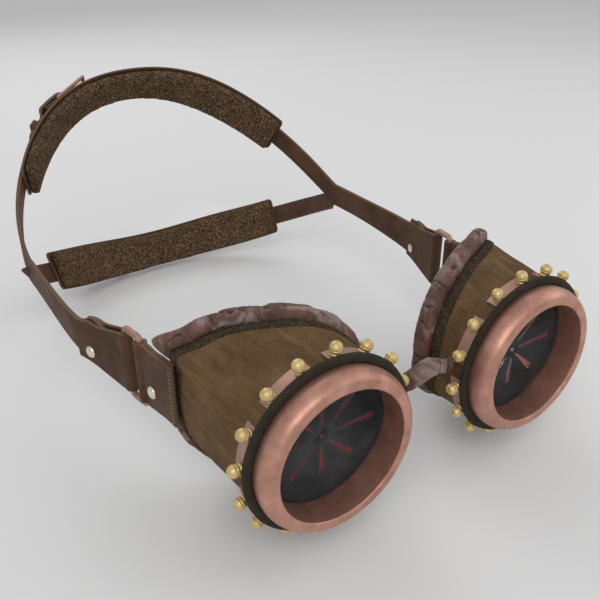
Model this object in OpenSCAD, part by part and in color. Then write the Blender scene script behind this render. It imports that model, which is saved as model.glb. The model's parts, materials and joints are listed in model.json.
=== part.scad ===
// Round-lens riveted goggles on a two-branch leather headband.
// The wearer faces -Y, so the lenses look along -Y; +X is the wearer's left and +Z is up.
// Shapes are laid out from the middle between the lens centres and shifted once, by place().

/* [Lenses] */
// Distance between the two lens centres
lens_spacing = 86; // [84:1:92]
// Diameter of one round lens
lens_d = 50; // [48:0.5:52]
// Thickness of one lens
lens_t = 1.8; // [1.4:0.1:2.4]
// Thickness of the slotted plate behind the lens
plate_t = 0.6; // [0.4:0.1:1]
// Thickness of the red filter behind the slotted plate
filter_t = 0.8; // [0.5:0.1:1.2]
// Number of ray-shaped slots in the plate
slot_count = 8; // [6:1:10]
// How far the sideways slots reach from the centre
slot_reach_x = 19.5; // [16:0.5:20.5]
// How far the upright slots reach from the centre
slot_reach_z = 13.5; // [11:0.5:17]

/* [Bezels] */
// Radius of the clear bore in front of the lens
bore_r = 22.8; // [22:0.1:23.2]
// How far the lip stands in front of the lens
lip_front = 10.6; // [9:0.2:13]
// Width from the bezel's thread to its outer face
skirt_t = 1.5; // [1.3:0.1:2.2]
// Wall of the lens tube inside the bezel
tube_wall = 1.1; // [0.9:0.1:1.3]
// Depth of the lens tube behind the lens
tube_depth = 5; // [4.8:0.1:5.2]

/* [Leather cups] */
// Thickness of the cup leather
cup_wall = 1.5; // [1.2:0.1:1.8]
// Half width of the cup's face edge
flare_x = 27.9; // [26:0.1:28.2]
// Half height of the cup's face edge
flare_z = 30.3; // [29:0.2:33]
// Depth of the face edge at the nose
face_near = 8; // [7:0.5:10]
// Extra depth of the face edge at the temple
face_wrap = 20; // [16:0.5:23]
// Width of the felt seam band
band_w = 4.4; // [3.5:0.1:5.5]
// Depth of the padded face roll
roll_depth = 7.4; // [6:0.2:9]
// How far the face roll stands outside the seam
roll_out = 3.6; // [3:0.1:4.4]
// Extra depth of the face edge at the cheek
cheek_depth = 5; // [0:0.5:7]

/* [Clips and rivets] */
// Number of copper clips round each cup
clip_count = 8; // [6:1:8]
// Width of a clip along the lens axis
clip_w = 5.5; // [5:0.1:6.5]
// Thickness of a clip
clip_t = 0.9; // [0.6:0.1:1.2]
// Angle between the two rivets of a clip
rivet_pitch = 21.3; // [18:0.1:24]
// Turn of the first clip from the top, towards the nose
clip_turn = 17; // [14:0.5:20]
// Diameter of a ball rivet head
ball_d = 4.2; // [3.6:0.1:4.6]

/* [Side links] */
// Distance from a lens axis out to its link's front bar
bar_past_lens = 30.9; // [30.5:0.1:32]
// Depth of the front bar behind the lens
front_bar_y = 66.3; // [64:0.5:70]
// Distance between a link's two bars
link_w = 9.7; // [8.5:0.1:12]
// Height of a link between the middles of its top and bottom wires
link_h = 28.3; // [28:0.1:34]
// Diameter of the link wire
wire_d = 2.5; // [2:0.1:2.8]
// Thickness of a tab leaf
leaf_t = 1.2; // [1:0.1:1.4]

/* [Headband] */
// Half width of the headband at its side branches
band_half = 84.4; // [82:0.2:88]
// Depth at which the side strap branches
branch_y = 166; // [156:1:174]
// Depth of the upper branch at the back of the head
upper_back = 78.7; // [70:0.5:86]
// Rise of the upper branch at the back
upper_rise = 58; // [48:1:64]
// Depth of the lower branch at the nape
lower_back = 62; // [56:0.5:70]
// Drop of the lower branch at the nape
lower_drop = 30; // [24:1:34]
// Thickness of the strap leather
strap_t = 2; // [1.6:0.1:2.2]
// Width of the branches
branch_w = 10.5; // [9:0.5:12]
// Width of the side strap at the link
strap_w = 15; // [14:0.5:16.5]
// Width of the upper pad
upper_pad_w = 24.8; // [20:0.2:28]
// Width of the lower pad
lower_pad_w = 21.6; // [18:0.2:24]
// Thickness of a pad's felt
pad_t = 4.6; // [3:0.2:6]

/* [Buckles] */
// Length of a buckle frame along the strap
buckle_l = 19; // [17:0.5:22]
// Diameter of the buckle wire
buckle_wire = 1.8; // [1.4:0.1:2]
// Place of the buckles round the back, from the wearer's left
buckle_turn = 116; // [112:1:122]

/* [Hidden] */
$fn = 72;
tiny = 0.01;

// Fits shared by several pieces
lens_play = 0.3;
thread_play = 0.05;
collar_play = 0.08;
rest_gap = 0.3;
seat_gap = 0.1;
bar_play = 0.08;

// Radii of the lens stack, each built on the one inside it
lens_x = lens_spacing / 2;
lens_r = lens_d / 2;
tube_bore = lens_r + lens_play;
thread_r = tube_bore + tube_wall;
skirt_bore = thread_r + thread_play;
bezel_r = skirt_bore + skirt_t;
tube_r = thread_r + 0.6;
shell_bore = tube_r + 0.2;
shell_r = shell_bore + cup_wall;
clip_bore = shell_r + seat_gap;
clip_r = clip_bore + clip_t;
seat_r = bore_r + 0.2;

// Stations along the lens axis; positive values lie in front of the lens
collar_back = rest_gap;
tube_front = 7;
groove_front = tube_front + 0.2;
skirt_back = 1.6;
lip_middle = lip_front / 2;
shell_front = 0.8;
tube_step = 0.2;
seat_front = -(lens_t + plate_t + filter_t);
seat_t = 1;
tube_back = -tube_depth;
clip_front = 2.4;
gasket_plate = 0.9;
gasket_step = 1.95;
gasket_front = clip_front + seat_gap + gasket_plate;
gasket_inner = bezel_r + 0.2;
gasket_outer = clip_r + 0.95;

// Face line of the cups, seen from above
face_slope = 0.22;
face_half = 73;
cup_shift = 0.2;
face_sides = 60;
shell_steps = 4;
straight_len = 5;

// Side of the face, on which the tab is sewn
tab_flat = 0.6;
roll_flat_top = 31;
roll_flat_angle = 24;
roll_corner = 2.8;
roll_corner_turn = 39;
roll_corner_width = 9;
edge_corner = 3.2;
edge_corner_turn = 36;
edge_corner_width = 10;
roll_tuck = 4.4;
roll_low = 2.2;
cheek_span = 25;

// Link and tabs
bar_r = wire_d / 2;
fold_bore = bar_r + bar_play;
fold_r = fold_bore + leaf_t;
link_turn = -8.9;
link_z = -0.3;
link_corner = 1.9;
front_bar_x = lens_x + bar_past_lens;
rear_bar = [front_bar_x - link_w * sin(link_turn), front_bar_y + link_w * cos(link_turn)];
cup_tab_turn = 2.6;
cup_tab_l = 24.5;
cup_tab_end = 11.8;
cup_tab_rise = 2.8;
cup_tab_rivet_at = 8.8;
strap_tab_turn = 15.8;
strap_tab_l = 29;
strap_tab_rivet_at = 20.5;
strap_start = 7;
tab_half = 12.2;
tab_rivet_r = 2.5;
tab_rivet_z = -3.4;

// Headband
side_z = -0.7;
junction_z = 3;
lower_z0 = -0.6;
upper_power = 1.3;
lower_power = 1.05;
branch_square = 0.94;
upper_lean_side = 0;
upper_lean = 32;
lower_lean_side = -32;
lower_lean = -12;
lean_power = 2.5;
backing_t = 1.2;
backing_gap = 0.3;
pad_end = 32;
lower_pad_end = 37.5;
pad_crown = 1.2;
branch_step = 2;

// Buckles, in the strap's own directions: along it, across it and out of it
heel_r = buckle_wire / 2;
buckle_w = branch_w + 5.4;
heel_out = strap_t / 2 + heel_r + 0.15;
fold_strap_t = 1.5;
fold_back = 8;
tongue_rise = heel_out + heel_r + fold_strap_t + strap_t / 2 + 0.7;
prong_r = 0.8;
prong_slot = 2 * prong_r + 1;
tongue_rest = strap_t + 0.3;
tongue_tail = 26;

backing_out = -strap_t / 2 - backing_gap;
backing_in = backing_out - backing_t;
// Headband branches: depth at the back, height at the side, rise at the back and its power, lean at the side
// and at the back
upper_branch = [upper_back, junction_z, upper_rise, upper_power, upper_lean_side, upper_lean];
lower_branch = [lower_back, lower_z0, -lower_drop, lower_power, lower_lean_side, lower_lean];

// Base and depth of the whole goggles, for an origin under the middle of their outline
function back_strip(b, w) = frame_ring(branch_frame(b, 90), strip_section(w, backing_in, backing_out));
outline_back = max([for (p = back_strip(upper_branch, upper_pad_w)) p[1]]);
origin_y = (outline_back - lip_front) / 2;
origin_z = min([for (p = back_strip(lower_branch, lower_pad_w)) p[2]]);

// Colours
copper = [0.62, 0.40, 0.33];
brass_gold = [0.78, 0.68, 0.38];
suede = [0.24, 0.18, 0.09];
brown_leather = [0.22, 0.12, 0.08];
roll_leather = [0.33, 0.19, 0.16];
felt_grey = [0.20, 0.18, 0.14];
dark_metal = [0.12, 0.13, 0.14];

// Small vector helpers
function mix(a, b, t) = a + (b - a) * t;
function unit(v) = v / norm(v);
function bell(a, middle, width) = exp(-pow((a - middle) / width, 2));
function smooth(t) = let (k = min(max(t, 0), 1)) k * k * (3 - 2 * k);
function signed_pow(v, p) = sign(v) * pow(abs(v), p);
function oval_arc(centre, radii, from, to, steps) =
    [for (i = [0:steps]) let (a = mix(from, to, i / steps))
        [centre[0] + radii[0] * cos(a), centre[1] + radii[1] * sin(a)]];

// Skin over a row of closed rings; wrap joins the last ring to the first instead of capping both
function skin_faces(m, n, wrap) =
    [for (i = [0:m - (wrap ? 1 : 2)]) for (j = [0:n - 1])
        let (a = i * n + j, b = i * n + (j + 1) % n, k = (i + 1) % m * n)
        each [[a, b, k + (j + 1) % n], [a, k + (j + 1) % n, k + j]]];
function cap_faces(first, n, flip) =
    [for (j = [1:n - 2]) flip ? [first, first + j + 1, first + j] : [first, first + j, first + j + 1]];

module skin(rings, wrap = false) {
    m = len(rings);
    n = len(rings[0]);
    caps = wrap ? [] : concat(cap_faces(0, n, true), cap_faces((m - 1) * n, n, false));
    polyhedron(points = [for (r = rings) each r], faces = concat(skin_faces(m, n, wrap), caps), convexity = 8);
}

module place() {
    translate([0, -origin_y, -origin_z]) children();
}

// The wearer's left is +X; a right piece is its mirror image
module side(s) {
    place() mirror([s < 0 ? 1 : 0, 0, 0]) children();
}

// Puts a shape on the lens axis: its Z points forward and its Y up
module on_lens() {
    translate([lens_x, 0, 0]) rotate([90, 0, 0]) children();
}

// Bezel: a fat rounded lip, a bore down to the lens and a groove that screws over the tube
module bezel() {
    crest_r = bezel_r - 2.9;
    back_turn = -asin((lip_middle - skirt_back) / (lip_front - lip_middle));
    profile = concat(
        [[skirt_bore, skirt_back]],
        oval_arc([crest_r, lip_middle], [bezel_r - crest_r, lip_front - lip_middle], back_turn, 90, 12),
        oval_arc([bore_r + 0.9, lip_front - 0.6], [0.9, 0.6], 90, 180, 3),
        [[bore_r, collar_back], [tube_bore - collar_play, collar_back],
         [tube_bore - collar_play, groove_front], [skirt_bore, groove_front]]);
    color(copper) on_lens() rotate_extrude() polygon(profile);
}

// Tube that carries the lens stack on an inner shoulder
module lens_tube() {
    profile = [[tube_bore, tube_front], [thread_r, tube_front], [thread_r, tube_step], [tube_r, tube_step],
        [tube_r, tube_back], [tube_bore, tube_back], [tube_bore, seat_front - seat_t],
        [seat_r, seat_front - seat_t], [seat_r, seat_front], [tube_bore, seat_front]];
    color(copper) on_lens() rotate_extrude() polygon(profile);
}

module gasket() {
    profile = [[gasket_inner, gasket_front], [gasket_outer - 0.4, gasket_front],
        [gasket_outer, gasket_front - 0.4], [gasket_outer, gasket_step], [clip_r + 0.25, gasket_step],
        [clip_r + 0.25, clip_front + seat_gap], [shell_r - 0.1, clip_front + seat_gap],
        [shell_r - 0.1, shell_front], [gasket_inner, shell_front]];
    color(felt_grey) on_lens() rotate_extrude() polygon(profile);
}

module lens() {
    edge = 0.4;
    color([0.35, 0.38, 0.40, 0.4]) on_lens() rotate_extrude()
        polygon([[0, 0], [lens_r - edge, 0], [lens_r, -edge], [lens_r, edge - lens_t],
            [lens_r - edge, -lens_t], [0, -lens_t]]);
}

// Reach of a slot in the direction turned by a, along an oval
function slot_reach(a) = 1 / norm([cos(a) / slot_reach_x, sin(a) / slot_reach_z]);

module slot_plate() {
    slot_start = 3.4;
    slot_thin = 0.35;
    slot_wide = 1.15;
    color(dark_metal) on_lens() translate([0, 0, -lens_t - plate_t]) linear_extrude(plate_t) difference() {
        circle(lens_r);
        circle(0.9, $fn = 24);
        for (i = [0:slot_count - 1]) {
            turn = i * 360 / slot_count;
            rotate(turn) polygon([[slot_start, -slot_thin], [slot_reach(turn), -slot_wide],
                [slot_reach(turn), slot_wide], [slot_start, slot_thin]]);
        }
    }
}

module red_filter() {
    color([0.45, 0.05, 0.05]) on_lens() translate([0, 0, seat_front]) cylinder(r = lens_r, h = filter_t);
}

// Turn of a clip about the lens axis, counted from the temple over the top to the nose
function clip_at(i) = 90 + clip_turn + i * 360 / clip_count;
function rivet_turns(i) = [clip_at(i) - rivet_pitch / 2, clip_at(i) + rivet_pitch / 2];

module radial(turn, r, s = 0) {
    rotate([0, 0, turn]) translate([r, 0, s]) rotate([0, 90, 0]) children();
}

shank_r = 0.9;
module clips() {
    clip_arc = rivet_pitch + 11.6;
    color(copper) on_lens() for (i = [0:clip_count - 1]) difference() {
        rotate([0, 0, clip_at(i) - clip_arc / 2]) rotate_extrude(angle = clip_arc)
            translate([clip_bore, clip_front - clip_w]) square([clip_t, clip_w]);
        for (turn = rivet_turns(i)) radial(turn, clip_bore - 1)
            cylinder(r = shank_r + 0.1, h = clip_t + 2, $fn = 24);
    }
}

// One ball rivet: shank in the clip, collar on it and a slotted ball
module ball_rivet() {
    ball_r = ball_d / 2;
    collar_h = 0.5;
    rotate_extrude($fn = 32) polygon(concat(
        [[0, -clip_t], [shank_r, -clip_t], [shank_r, tiny], [1.8, tiny], [1.8, collar_h], [1.5, collar_h]],
        oval_arc([0, ball_r + collar_h - 0.35], [ball_r, ball_r], -50, 90, 9)));
}

module clip_rivets() {
    color(brass_gold) on_lens() for (i = [0:clip_count - 1]) for (turn = rivet_turns(i))
        radial(turn, clip_r + 0.05) ball_rivet();
}

// Outline of the cup's face edge, turned by a from the temple over the top
function signed_turn(a) = a > 180 ? a - 360 : a;
function edge_x(a) = cup_shift + edge_corner * bell(signed_turn(a), edge_corner_turn, edge_corner_width)
    + (cos(a) > 0 ? flare_x * pow(cos(a), tab_flat) : flare_x * cos(a));
function edge_z(a) = flare_z * sin(a);
function face_y(x, z) = face_near + face_slope * x + face_wrap * pow(x / face_half, 4)
    + cheek_depth * smooth(-z / cheek_span);
function edge_point(a, out, back) =
    let (d = unit([cos(a) * flare_z, sin(a) * flare_x]), x = edge_x(a) + d[0] * out, z = edge_z(a) + d[1] * out)
    [lens_x + x, face_y(lens_x + edge_x(a), edge_z(a)) + back, z];

// Ring of the cup wall, in leather of radius r at the tube, part way t to the face edge
function cup_ring(r, t, inset) =
    [for (j = [0:face_sides - 1]) let (a = 360 * j / face_sides, e = edge_point(a, -inset, 0))
        mix([lens_x + r * cos(a), straight_len, r * sin(a)], e, t)];
function tube_ring(r, y) =
    [for (j = [0:face_sides - 1]) let (a = 360 * j / face_sides) [lens_x + r * cos(a), y, r * sin(a)]];

module cup_shell() {
    outer = [for (i = [0:shell_steps]) cup_ring(shell_r, i / shell_steps, 0)];
    inner = [for (i = [shell_steps:-1:0]) cup_ring(shell_bore, i / shell_steps, cup_wall)];
    color(suede) skin(concat([tube_ring(shell_r, -shell_front)], outer, inner,
        [tube_ring(shell_bore, -shell_front)]), wrap = true);
}

// How far the padded roll stands out, round the face edge: flat under the tab, proud at the temple corners
function roll_reach(a) = let (k = signed_turn(a))
    mix(roll_low, roll_out, smooth(0.5 + sin(a)))
    + roll_corner * bell(k, roll_corner_turn, roll_corner_width)
    - roll_tuck * exp(-pow(k > 0 ? k / roll_flat_top : -k / roll_flat_angle, k > 0 ? 8 : 4));
function crumple(a) = 0.35 * sin(11 * a + 40) + 0.25 * sin(17 * a);

module seam_band() {
    corners = [[-cup_wall, 0], [0.35, 0], [0.7, band_w * 0.5], [0.5, band_w - seat_gap],
        [-cup_wall, band_w - seat_gap]];
    rings = [for (c = corners) [for (j = [0:face_sides - 1])
        let (a = 360 * j / face_sides, tuck = bell(signed_turn(a), 0, 20))
        edge_point(a, c[0] - (c[0] > 0 ? tuck * c[0] : 0), c[1] + seat_gap)]];
    color(felt_grey) skin(rings, wrap = true);
}

module face_roll() {
    section = 10;
    back = band_w + seat_gap + roll_depth / 2;
    rings = [for (i = [0:section - 1]) let (b = -360 * i / section) [for (j = [0:face_sides - 1])
        let (a = 360 * j / face_sides, half = (roll_reach(a) + 3) / 2, middle = (roll_reach(a) - 3) / 2,
            swell = 1 + 0.12 * crumple(a) * max(cos(b), 0))
        edge_point(a, middle + half * swell * signed_pow(cos(b), 0.8),
            back - roll_depth / 2 * signed_pow(sin(b), 0.8))]];
    color(roll_leather) skin(rings, wrap = true);
}

// Folded leather tab in its own directions: x runs from the bar along the leaves, z is up
module fold_outline(gap, inner_l, outer_l) {
    difference() {
        union() {
            circle(fold_r);
            translate([0, gap / 2]) square([outer_l, leaf_t]);
            translate([0, -gap / 2 - leaf_t]) square([inner_l, leaf_t]);
            translate([0, -gap / 2]) square([fold_r * 0.95, gap]);
        }
        circle(fold_bore);
        translate([0, -gap / 2]) square([outer_l + 1, gap]);
    }
}

// Side view of a tab: full height at the fold, a dip and a bump along the top, narrower at its end
module tab_outline(l, end_half, bump_at, bump, rise = 0) {
    steps = 24;
    top = [for (i = [0:steps]) let (t = i / steps)
        [mix(-fold_r - 1, l, t), mix(tab_half, end_half, smooth(t * 1.25)) + bump * bell(t, bump_at, 0.13)
            + rise * smooth(t * 1.25 - 0.18)]];
    bottom = [for (i = [steps:-1:0]) let (t = i / steps)
        [mix(-fold_r - 1, l, t), rise * smooth(t * 1.25 - 0.18) - mix(tab_half, end_half, smooth(t * 1.15))]];
    polygon(concat(top, bottom));
}

module tab_body(gap, inner_l, outer_l, end_half, bump_at, bump, rivet_at, rise = 0) {
    difference() {
        intersection() {
            translate([0, 0, -30]) linear_extrude(60) fold_outline(gap, inner_l, outer_l);
            translate([0, 20, 0]) rotate([90, 0, 0]) linear_extrude(40)
                tab_outline(outer_l, end_half, bump_at, bump, rise);
        }
        translate([rivet_at, 20, tab_rivet_z]) rotate([90, 0, 0])
            cylinder(r = shank_r + 0.1, h = 40, $fn = 24);
    }
}

// Tab directions: the cup tab's x runs forward, the strap tab's x runs back
cup_gap = 2 * seat_gap;
strap_gap = strap_t + 2 * seat_gap;
module at_front_bar() {
    translate([front_bar_x, front_bar_y, 0]) rotate([0, 0, -90 - cup_tab_turn]) children();
}
module at_rear_bar() {
    translate([rear_bar[0], rear_bar[1], 0]) rotate([0, 0, 90 - strap_tab_turn]) mirror([0, 1, 0]) children();
}

module cup_tab() {
    color(brown_leather) at_front_bar()
        tab_body(cup_gap, cup_tab_l - 2, cup_tab_l, cup_tab_end, 0.3, 0.8, cup_tab_rivet_at, cup_tab_rise);
}
module strap_tab() {
    color(brown_leather) at_rear_bar()
        tab_body(strap_gap, strap_tab_l - 4, strap_tab_l, 8.3, 0.72, 1.3, strap_tab_rivet_at);
}

// Domed rivet through both leaves, peened on a washer at the wearer's side
module tab_rivet(gap) {
    reach = gap / 2 + leaf_t;
    dome_h = 1.5;
    washer_t = 0.5;
    rotate([-90, 0, 0]) rotate_extrude($fn = 48) polygon(concat(
        [[0, -reach - washer_t], [2.1, -reach - washer_t], [2.1, -reach - tiny], [shank_r, -reach - tiny],
         [shank_r, reach + tiny]],
        oval_arc([0, reach + tiny], [tab_rivet_r, dome_h], 0, 90, 8)));
}
module cup_tab_rivet() {
    color(brass_gold) at_front_bar() translate([cup_tab_rivet_at, 0, tab_rivet_z]) tab_rivet(cup_gap);
}
module strap_tab_rivet() {
    color(brass_gold) at_rear_bar() translate([strap_tab_rivet_at, 0, tab_rivet_z]) tab_rivet(strap_gap);
}

// Wire link: two upright bars joined by rounded ends
module link() {
    straight = link_h - 2 * link_corner;
    across = link_w - 2 * link_corner;
    color(copper) translate([front_bar_x, front_bar_y, link_z]) rotate([0, 0, link_turn]) union() {
        for (y = [0, link_w]) translate([0, y, -straight / 2]) cylinder(r = bar_r, h = straight, $fn = 32);
        for (up = [1, -1]) {
            translate([0, link_corner, up * link_h / 2]) rotate([-90, 0, 0])
                cylinder(r = bar_r, h = across, $fn = 32);
            for (back = [0, 1]) translate([0, back ? link_w - link_corner : link_corner, up * straight / 2])
                rotate([0, 90, 0]) rotate([0, 0, up > 0 ? (back ? 90 : 180) : (back ? 0 : 270)])
                rotate_extrude(angle = 90, $fn = 48) translate([link_corner, 0]) circle(bar_r, $fn = 32);
        }
    }
}

// Nose bridge half: a creased leather ribbon from the middle back to the cup, between two clips.
// Each row is distance from the middle, depth, and the heights of the ribbon's lower and upper edges; the
// distances are stretched to reach the cup
ribbon_l = 14.2;
ribbon_stretch = (lens_x - clip_bore) / ribbon_l;
right_ribbon = [[0.25, -3, 9.5, 15], [2, -2.9, 8.7, 15.7], [4, -1.8, 7, 16.2], [6, -0.3, 4.6, 14.1],
    [8, 1.5, 2.6, 11.3], [10, 3.1, 1.4, 9], [11.4, 3.8, 1, 8], [14.2, 4.3, 0.8, 7]];
left_ribbon = [[0.25, -3, 9.2, 14.5], [2, -2.9, 8.4, 13.6], [4, -1.8, 7.1, 12.3], [6, -0.3, 5.3, 10.7],
    [8, 1.5, 3.6, 9], [10, 3.1, 2.2, 7.6], [11.4, 3.8, 1.5, 7], [14.2, 4.3, 1, 6.5]];
module bridge(ribbon) {
    half = 0.9;
    round = 0.6;
    color(roll_leather) skin([for (r = ribbon, x = [r[0] * ribbon_stretch]) [
        [x, r[1] - half, r[2] + round], [x, r[1] - half, r[3] - round],
        [x, r[1] - half + round, r[3]], [x, r[1] + half, r[3]], [x, r[1] + half, r[2]],
        [x, r[1] - half + round, r[2]]]]);
}

// Point of a branch turned by a from the wearer's left side round the back
function branch_point(b, a) = let (v = max(sin(a), 0))
    [band_half * signed_pow(cos(a), branch_square), branch_y + b[0] * sin(a), b[1] + b[2] * pow(v, b[3])];
function branch_frame(b, a) =
    let (p = branch_point(b, a), along = unit(branch_point(b, a + 0.5) - branch_point(b, a - 0.5)),
        level = unit([along[1], -along[0], 0]), lean = mix(b[4], b[5], pow(max(sin(a), 0), lean_power)),
        up = [0, 0, cos(lean)] - level * sin(lean), across = unit(up - along * (up * along)))
    [p, across, cross(along, across), along];
function frame_ring(f, section) = [for (q = section) f[0] + f[1] * q[0] + f[2] * q[1]];
function strip_section(w, low, high) = [[-w / 2, low], [-w / 2, high], [w / 2, high], [w / 2, low]];

function branch_steps(from, to) = 2 * ceil((to - from) / branch_step / 2);

// Run of a branch between two turns, with the strip lifted outwards by rise(a)
module branch_strip(b, from, to, w, low, high) {
    steps = branch_steps(from, to);
    skin([for (i = [0:steps]) let (a = mix(from, to, i / steps))
        frame_ring(branch_frame(b, a), strip_section(w, low, high))]);
}

// Side strap, from the tab to the branch
side_start = [rear_bar[0] + strap_tab_l * sin(strap_tab_turn), rear_bar[1] + strap_tab_l * cos(strap_tab_turn)];
side_dir = [sin(strap_tab_turn), cos(strap_tab_turn)];
function bezier(p, t) = pow(1 - t, 3) * p[0] + 3 * pow(1 - t, 2) * t * p[1] + 3 * (1 - t) * t * t * p[2]
    + t * t * t * p[3];
side_line = [side_start - side_dir * 2, side_start + side_dir * 8, [band_half, branch_y - 20],
    [band_half, branch_y + 4]];
module side_strip() {
    steps = 14;
    half_t = strap_t / 2 - 0.05;
    skin([for (i = [0:steps]) let (t = i / steps, p = bezier(side_line, t),
            d = unit(bezier(side_line, t + 0.01) - bezier(side_line, t - 0.01)), out = [d[1], -d[0]],
            half = mix(strap_w, branch_w + 1.4, smooth(t * 1.3)) / 2, z = mix(side_z, junction_z - 0.6, smooth(t)))
        [for (q = [[-half, -half_t], [-half, half_t], [half, half_t], [half, -half_t]])
            [p[0] + out[0] * q[1], p[1] + out[1] * q[1], z + q[0]]]]);
}

// Strap end between the tab's leaves, with an ogee bump on its top edge
module strap_end() {
    steps = 20;
    top = [for (i = [0:steps]) let (t = i / steps)
        [mix(strap_start, strap_tab_l + 0.5, t), side_z + strap_w / 2 + 4.3 * bell(t, 0.52, 0.27)]];
    difference() {
        at_rear_bar() translate([0, strap_t / 2, 0]) rotate([90, 0, 0]) linear_extrude(strap_t)
            polygon(concat(top, [[strap_tab_l + 0.5, side_z - strap_w / 2], [strap_start, side_z - strap_w / 2]]));
        at_rear_bar() translate([strap_tab_rivet_at, 5, tab_rivet_z]) rotate([90, 0, 0])
            cylinder(r = shank_r + 0.1, h = 10, $fn = 24);
    }
}

module strap_side() {
    strap_end();
    side_strip();
}

// Buckle directions: x along the strap towards its fixed end, y across it and z out of it
module at_buckle(b) {
    f = branch_frame(b, buckle_turn);
    multmatrix([[f[3][0], f[1][0], f[2][0], f[0][0]], [f[3][1], f[1][1], f[2][1], f[0][1]],
        [f[3][2], f[1][2], f[2][2], f[0][2]], [0, 0, 0, 1]]) children();
}

function arc_turn(b) = norm(branch_point(b, buckle_turn + 0.5) - branch_point(b, buckle_turn - 0.5));

// Fixed strap: it ends in a fold round the buckle's heel bar, with a slot for the prong
module fixed_branch(b) {
    branch_strip(b, buckle_turn + 3 / arc_turn(b), 179, branch_w, 0.1 - strap_t / 2, strap_t / 2 - 0.1);
    at_buckle(b) difference() {
        rotate([90, 0, 0]) translate([0, 0, -branch_w / 2 + 0.2]) linear_extrude(branch_w - 0.4) difference() {
            union() {
                translate([0, heel_out]) circle(heel_r + 0.05 + fold_strap_t);
                translate([0, heel_out + heel_r + 0.05]) square([fold_back, fold_strap_t]);
                translate([0, -strap_t / 2]) square([fold_back, strap_t]);
            }
            translate([0, heel_out]) circle(heel_r + 0.05);
            translate([0, strap_t / 2]) square([fold_back + 1, heel_out - strap_t / 2 + heel_r + 0.05]);
        }
        translate([-10, -prong_slot / 2, strap_t / 2 + tiny]) cube([20, prong_slot, 20]);
        translate([-10, -prong_slot / 2, -10]) cube([10 + prong_slot, prong_slot, 20]);
    }
}

// Lift of the tongue strap over the buckle's heel bar, at a distance along the strap
function tongue_lift(x) = tongue_rise * smooth((x + buckle_l * 0.62) / (buckle_l * 0.5))
    - (tongue_rise - tongue_rest) * smooth((x - fold_back - 0.5) / 6);

// Tongue strap: under the buckle's front bar, over its heel bar and on to its pointed end
module tongue_branch(b) {
    mm = arc_turn(b);
    from = 1;
    near = buckle_turn - buckle_l / mm;
    far = buckle_turn + tongue_tail / mm;
    low = -strap_t / 2 + 0.1;
    steps = ceil((near - from) / branch_step);
    plain = [for (i = [0:steps]) let (a = mix(from, near, i / steps))
        frame_ring(branch_frame(b, a), strip_section(branch_w, low, -low))];
    lifted = [for (i = [1:16]) let (a = mix(near, far, i / 16), rise = tongue_lift((a - buckle_turn) * mm),
            w = i < 15 ? branch_w : branch_w * (i == 15 ? 0.8 : 0.35))
        frame_ring(branch_frame(b, a), strip_section(w, low + rise, rise - low))];
    difference() {
        skin(concat(plain, lifted));
        at_buckle(b) translate([-buckle_l * 0.45, -prong_slot / 2, -3])
            cube([buckle_l * 0.45 + 0.3, prong_slot, 12]);
    }
}

module fixed_strap() {
    color(brown_leather) {
        strap_side();
        mirror([1, 0, 0]) fixed_branch(upper_branch);
        mirror([1, 0, 0]) fixed_branch(lower_branch);
    }
}
module tongue_strap() {
    color(brown_leather) {
        strap_side();
        tongue_branch(upper_branch);
        tongue_branch(lower_branch);
    }
}

// Buckle frame: a rounded wire rectangle whose heel bar lies in the strap's fold
module buckle_frame(b) {
    half = buckle_w / 2;
    color(copper) place() at_buckle(b) translate([0, 0, heel_out]) union() {
        for (x = [0, -buckle_l]) translate([x, half, 0]) rotate([90, 0, 0])
            cylinder(r = heel_r, h = buckle_w, $fn = 32);
        for (y = [-half, half]) translate([-buckle_l, y, 0]) rotate([0, 90, 0])
            cylinder(r = heel_r, h = buckle_l, $fn = 32);
        for (x = [0, -buckle_l]) for (y = [-half, half]) translate([x, y, 0]) sphere(heel_r, $fn = 32);
    }
}

// Prong: an eye round the heel bar and a pin that rests on the front bar
module buckle_prong(b) {
    rest = heel_r + prong_r + 0.05;
    color(copper) place() at_buckle(b) translate([0, 0, heel_out]) difference() {
        union() {
            translate([0, prong_r, 0]) rotate([90, 0, 0]) cylinder(r = heel_r + 1, h = 2 * prong_r, $fn = 32);
            translate([-buckle_l - 1.5, 0, rest]) rotate([0, 90, 0])
                cylinder(r = prong_r, h = buckle_l + 1.5, $fn = 24);
            translate([-buckle_l - 1.5, 0, rest]) sphere(prong_r, $fn = 24);
        }
        translate([0, prong_r + 1, 0]) rotate([90, 0, 0])
            cylinder(r = heel_r + bar_play, h = 2 * prong_r + 2, $fn = 32);
    }
}

// Leather keeper loop round both layers of strap
module keeper(b) {
    keeper_at = 19;
    keeper_w = 4.5;
    keeper_t = 1;
    low = -strap_t / 2 - 0.05;
    high = tongue_rest + strap_t / 2 + 0.35;
    f = branch_frame(b, buckle_turn + keeper_at / arc_turn(b));
    color(brown_leather) place() multmatrix([[f[3][0], f[1][0], f[2][0], f[0][0]],
        [f[3][1], f[1][1], f[2][1], f[0][1]], [f[3][2], f[1][2], f[2][2], f[0][2]], [0, 0, 0, 1]])
        rotate([90, 0, 90]) linear_extrude(keeper_w, center = true) difference() {
            translate([-branch_w / 2 - 0.2 - keeper_t, low - 0.01])
                square([branch_w + 0.4 + 2 * keeper_t, high - low + keeper_t]);
            translate([-branch_w / 2 - 0.2, low - 1]) square([branch_w + 0.4, high - low + 1]);
        }
}

// Pads: a thin leather backing against the strap and a crowned felt cushion towards the head
function end_taper(t) = 1 - 0.12 * pow(abs(2 * t - 1), 8);

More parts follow.
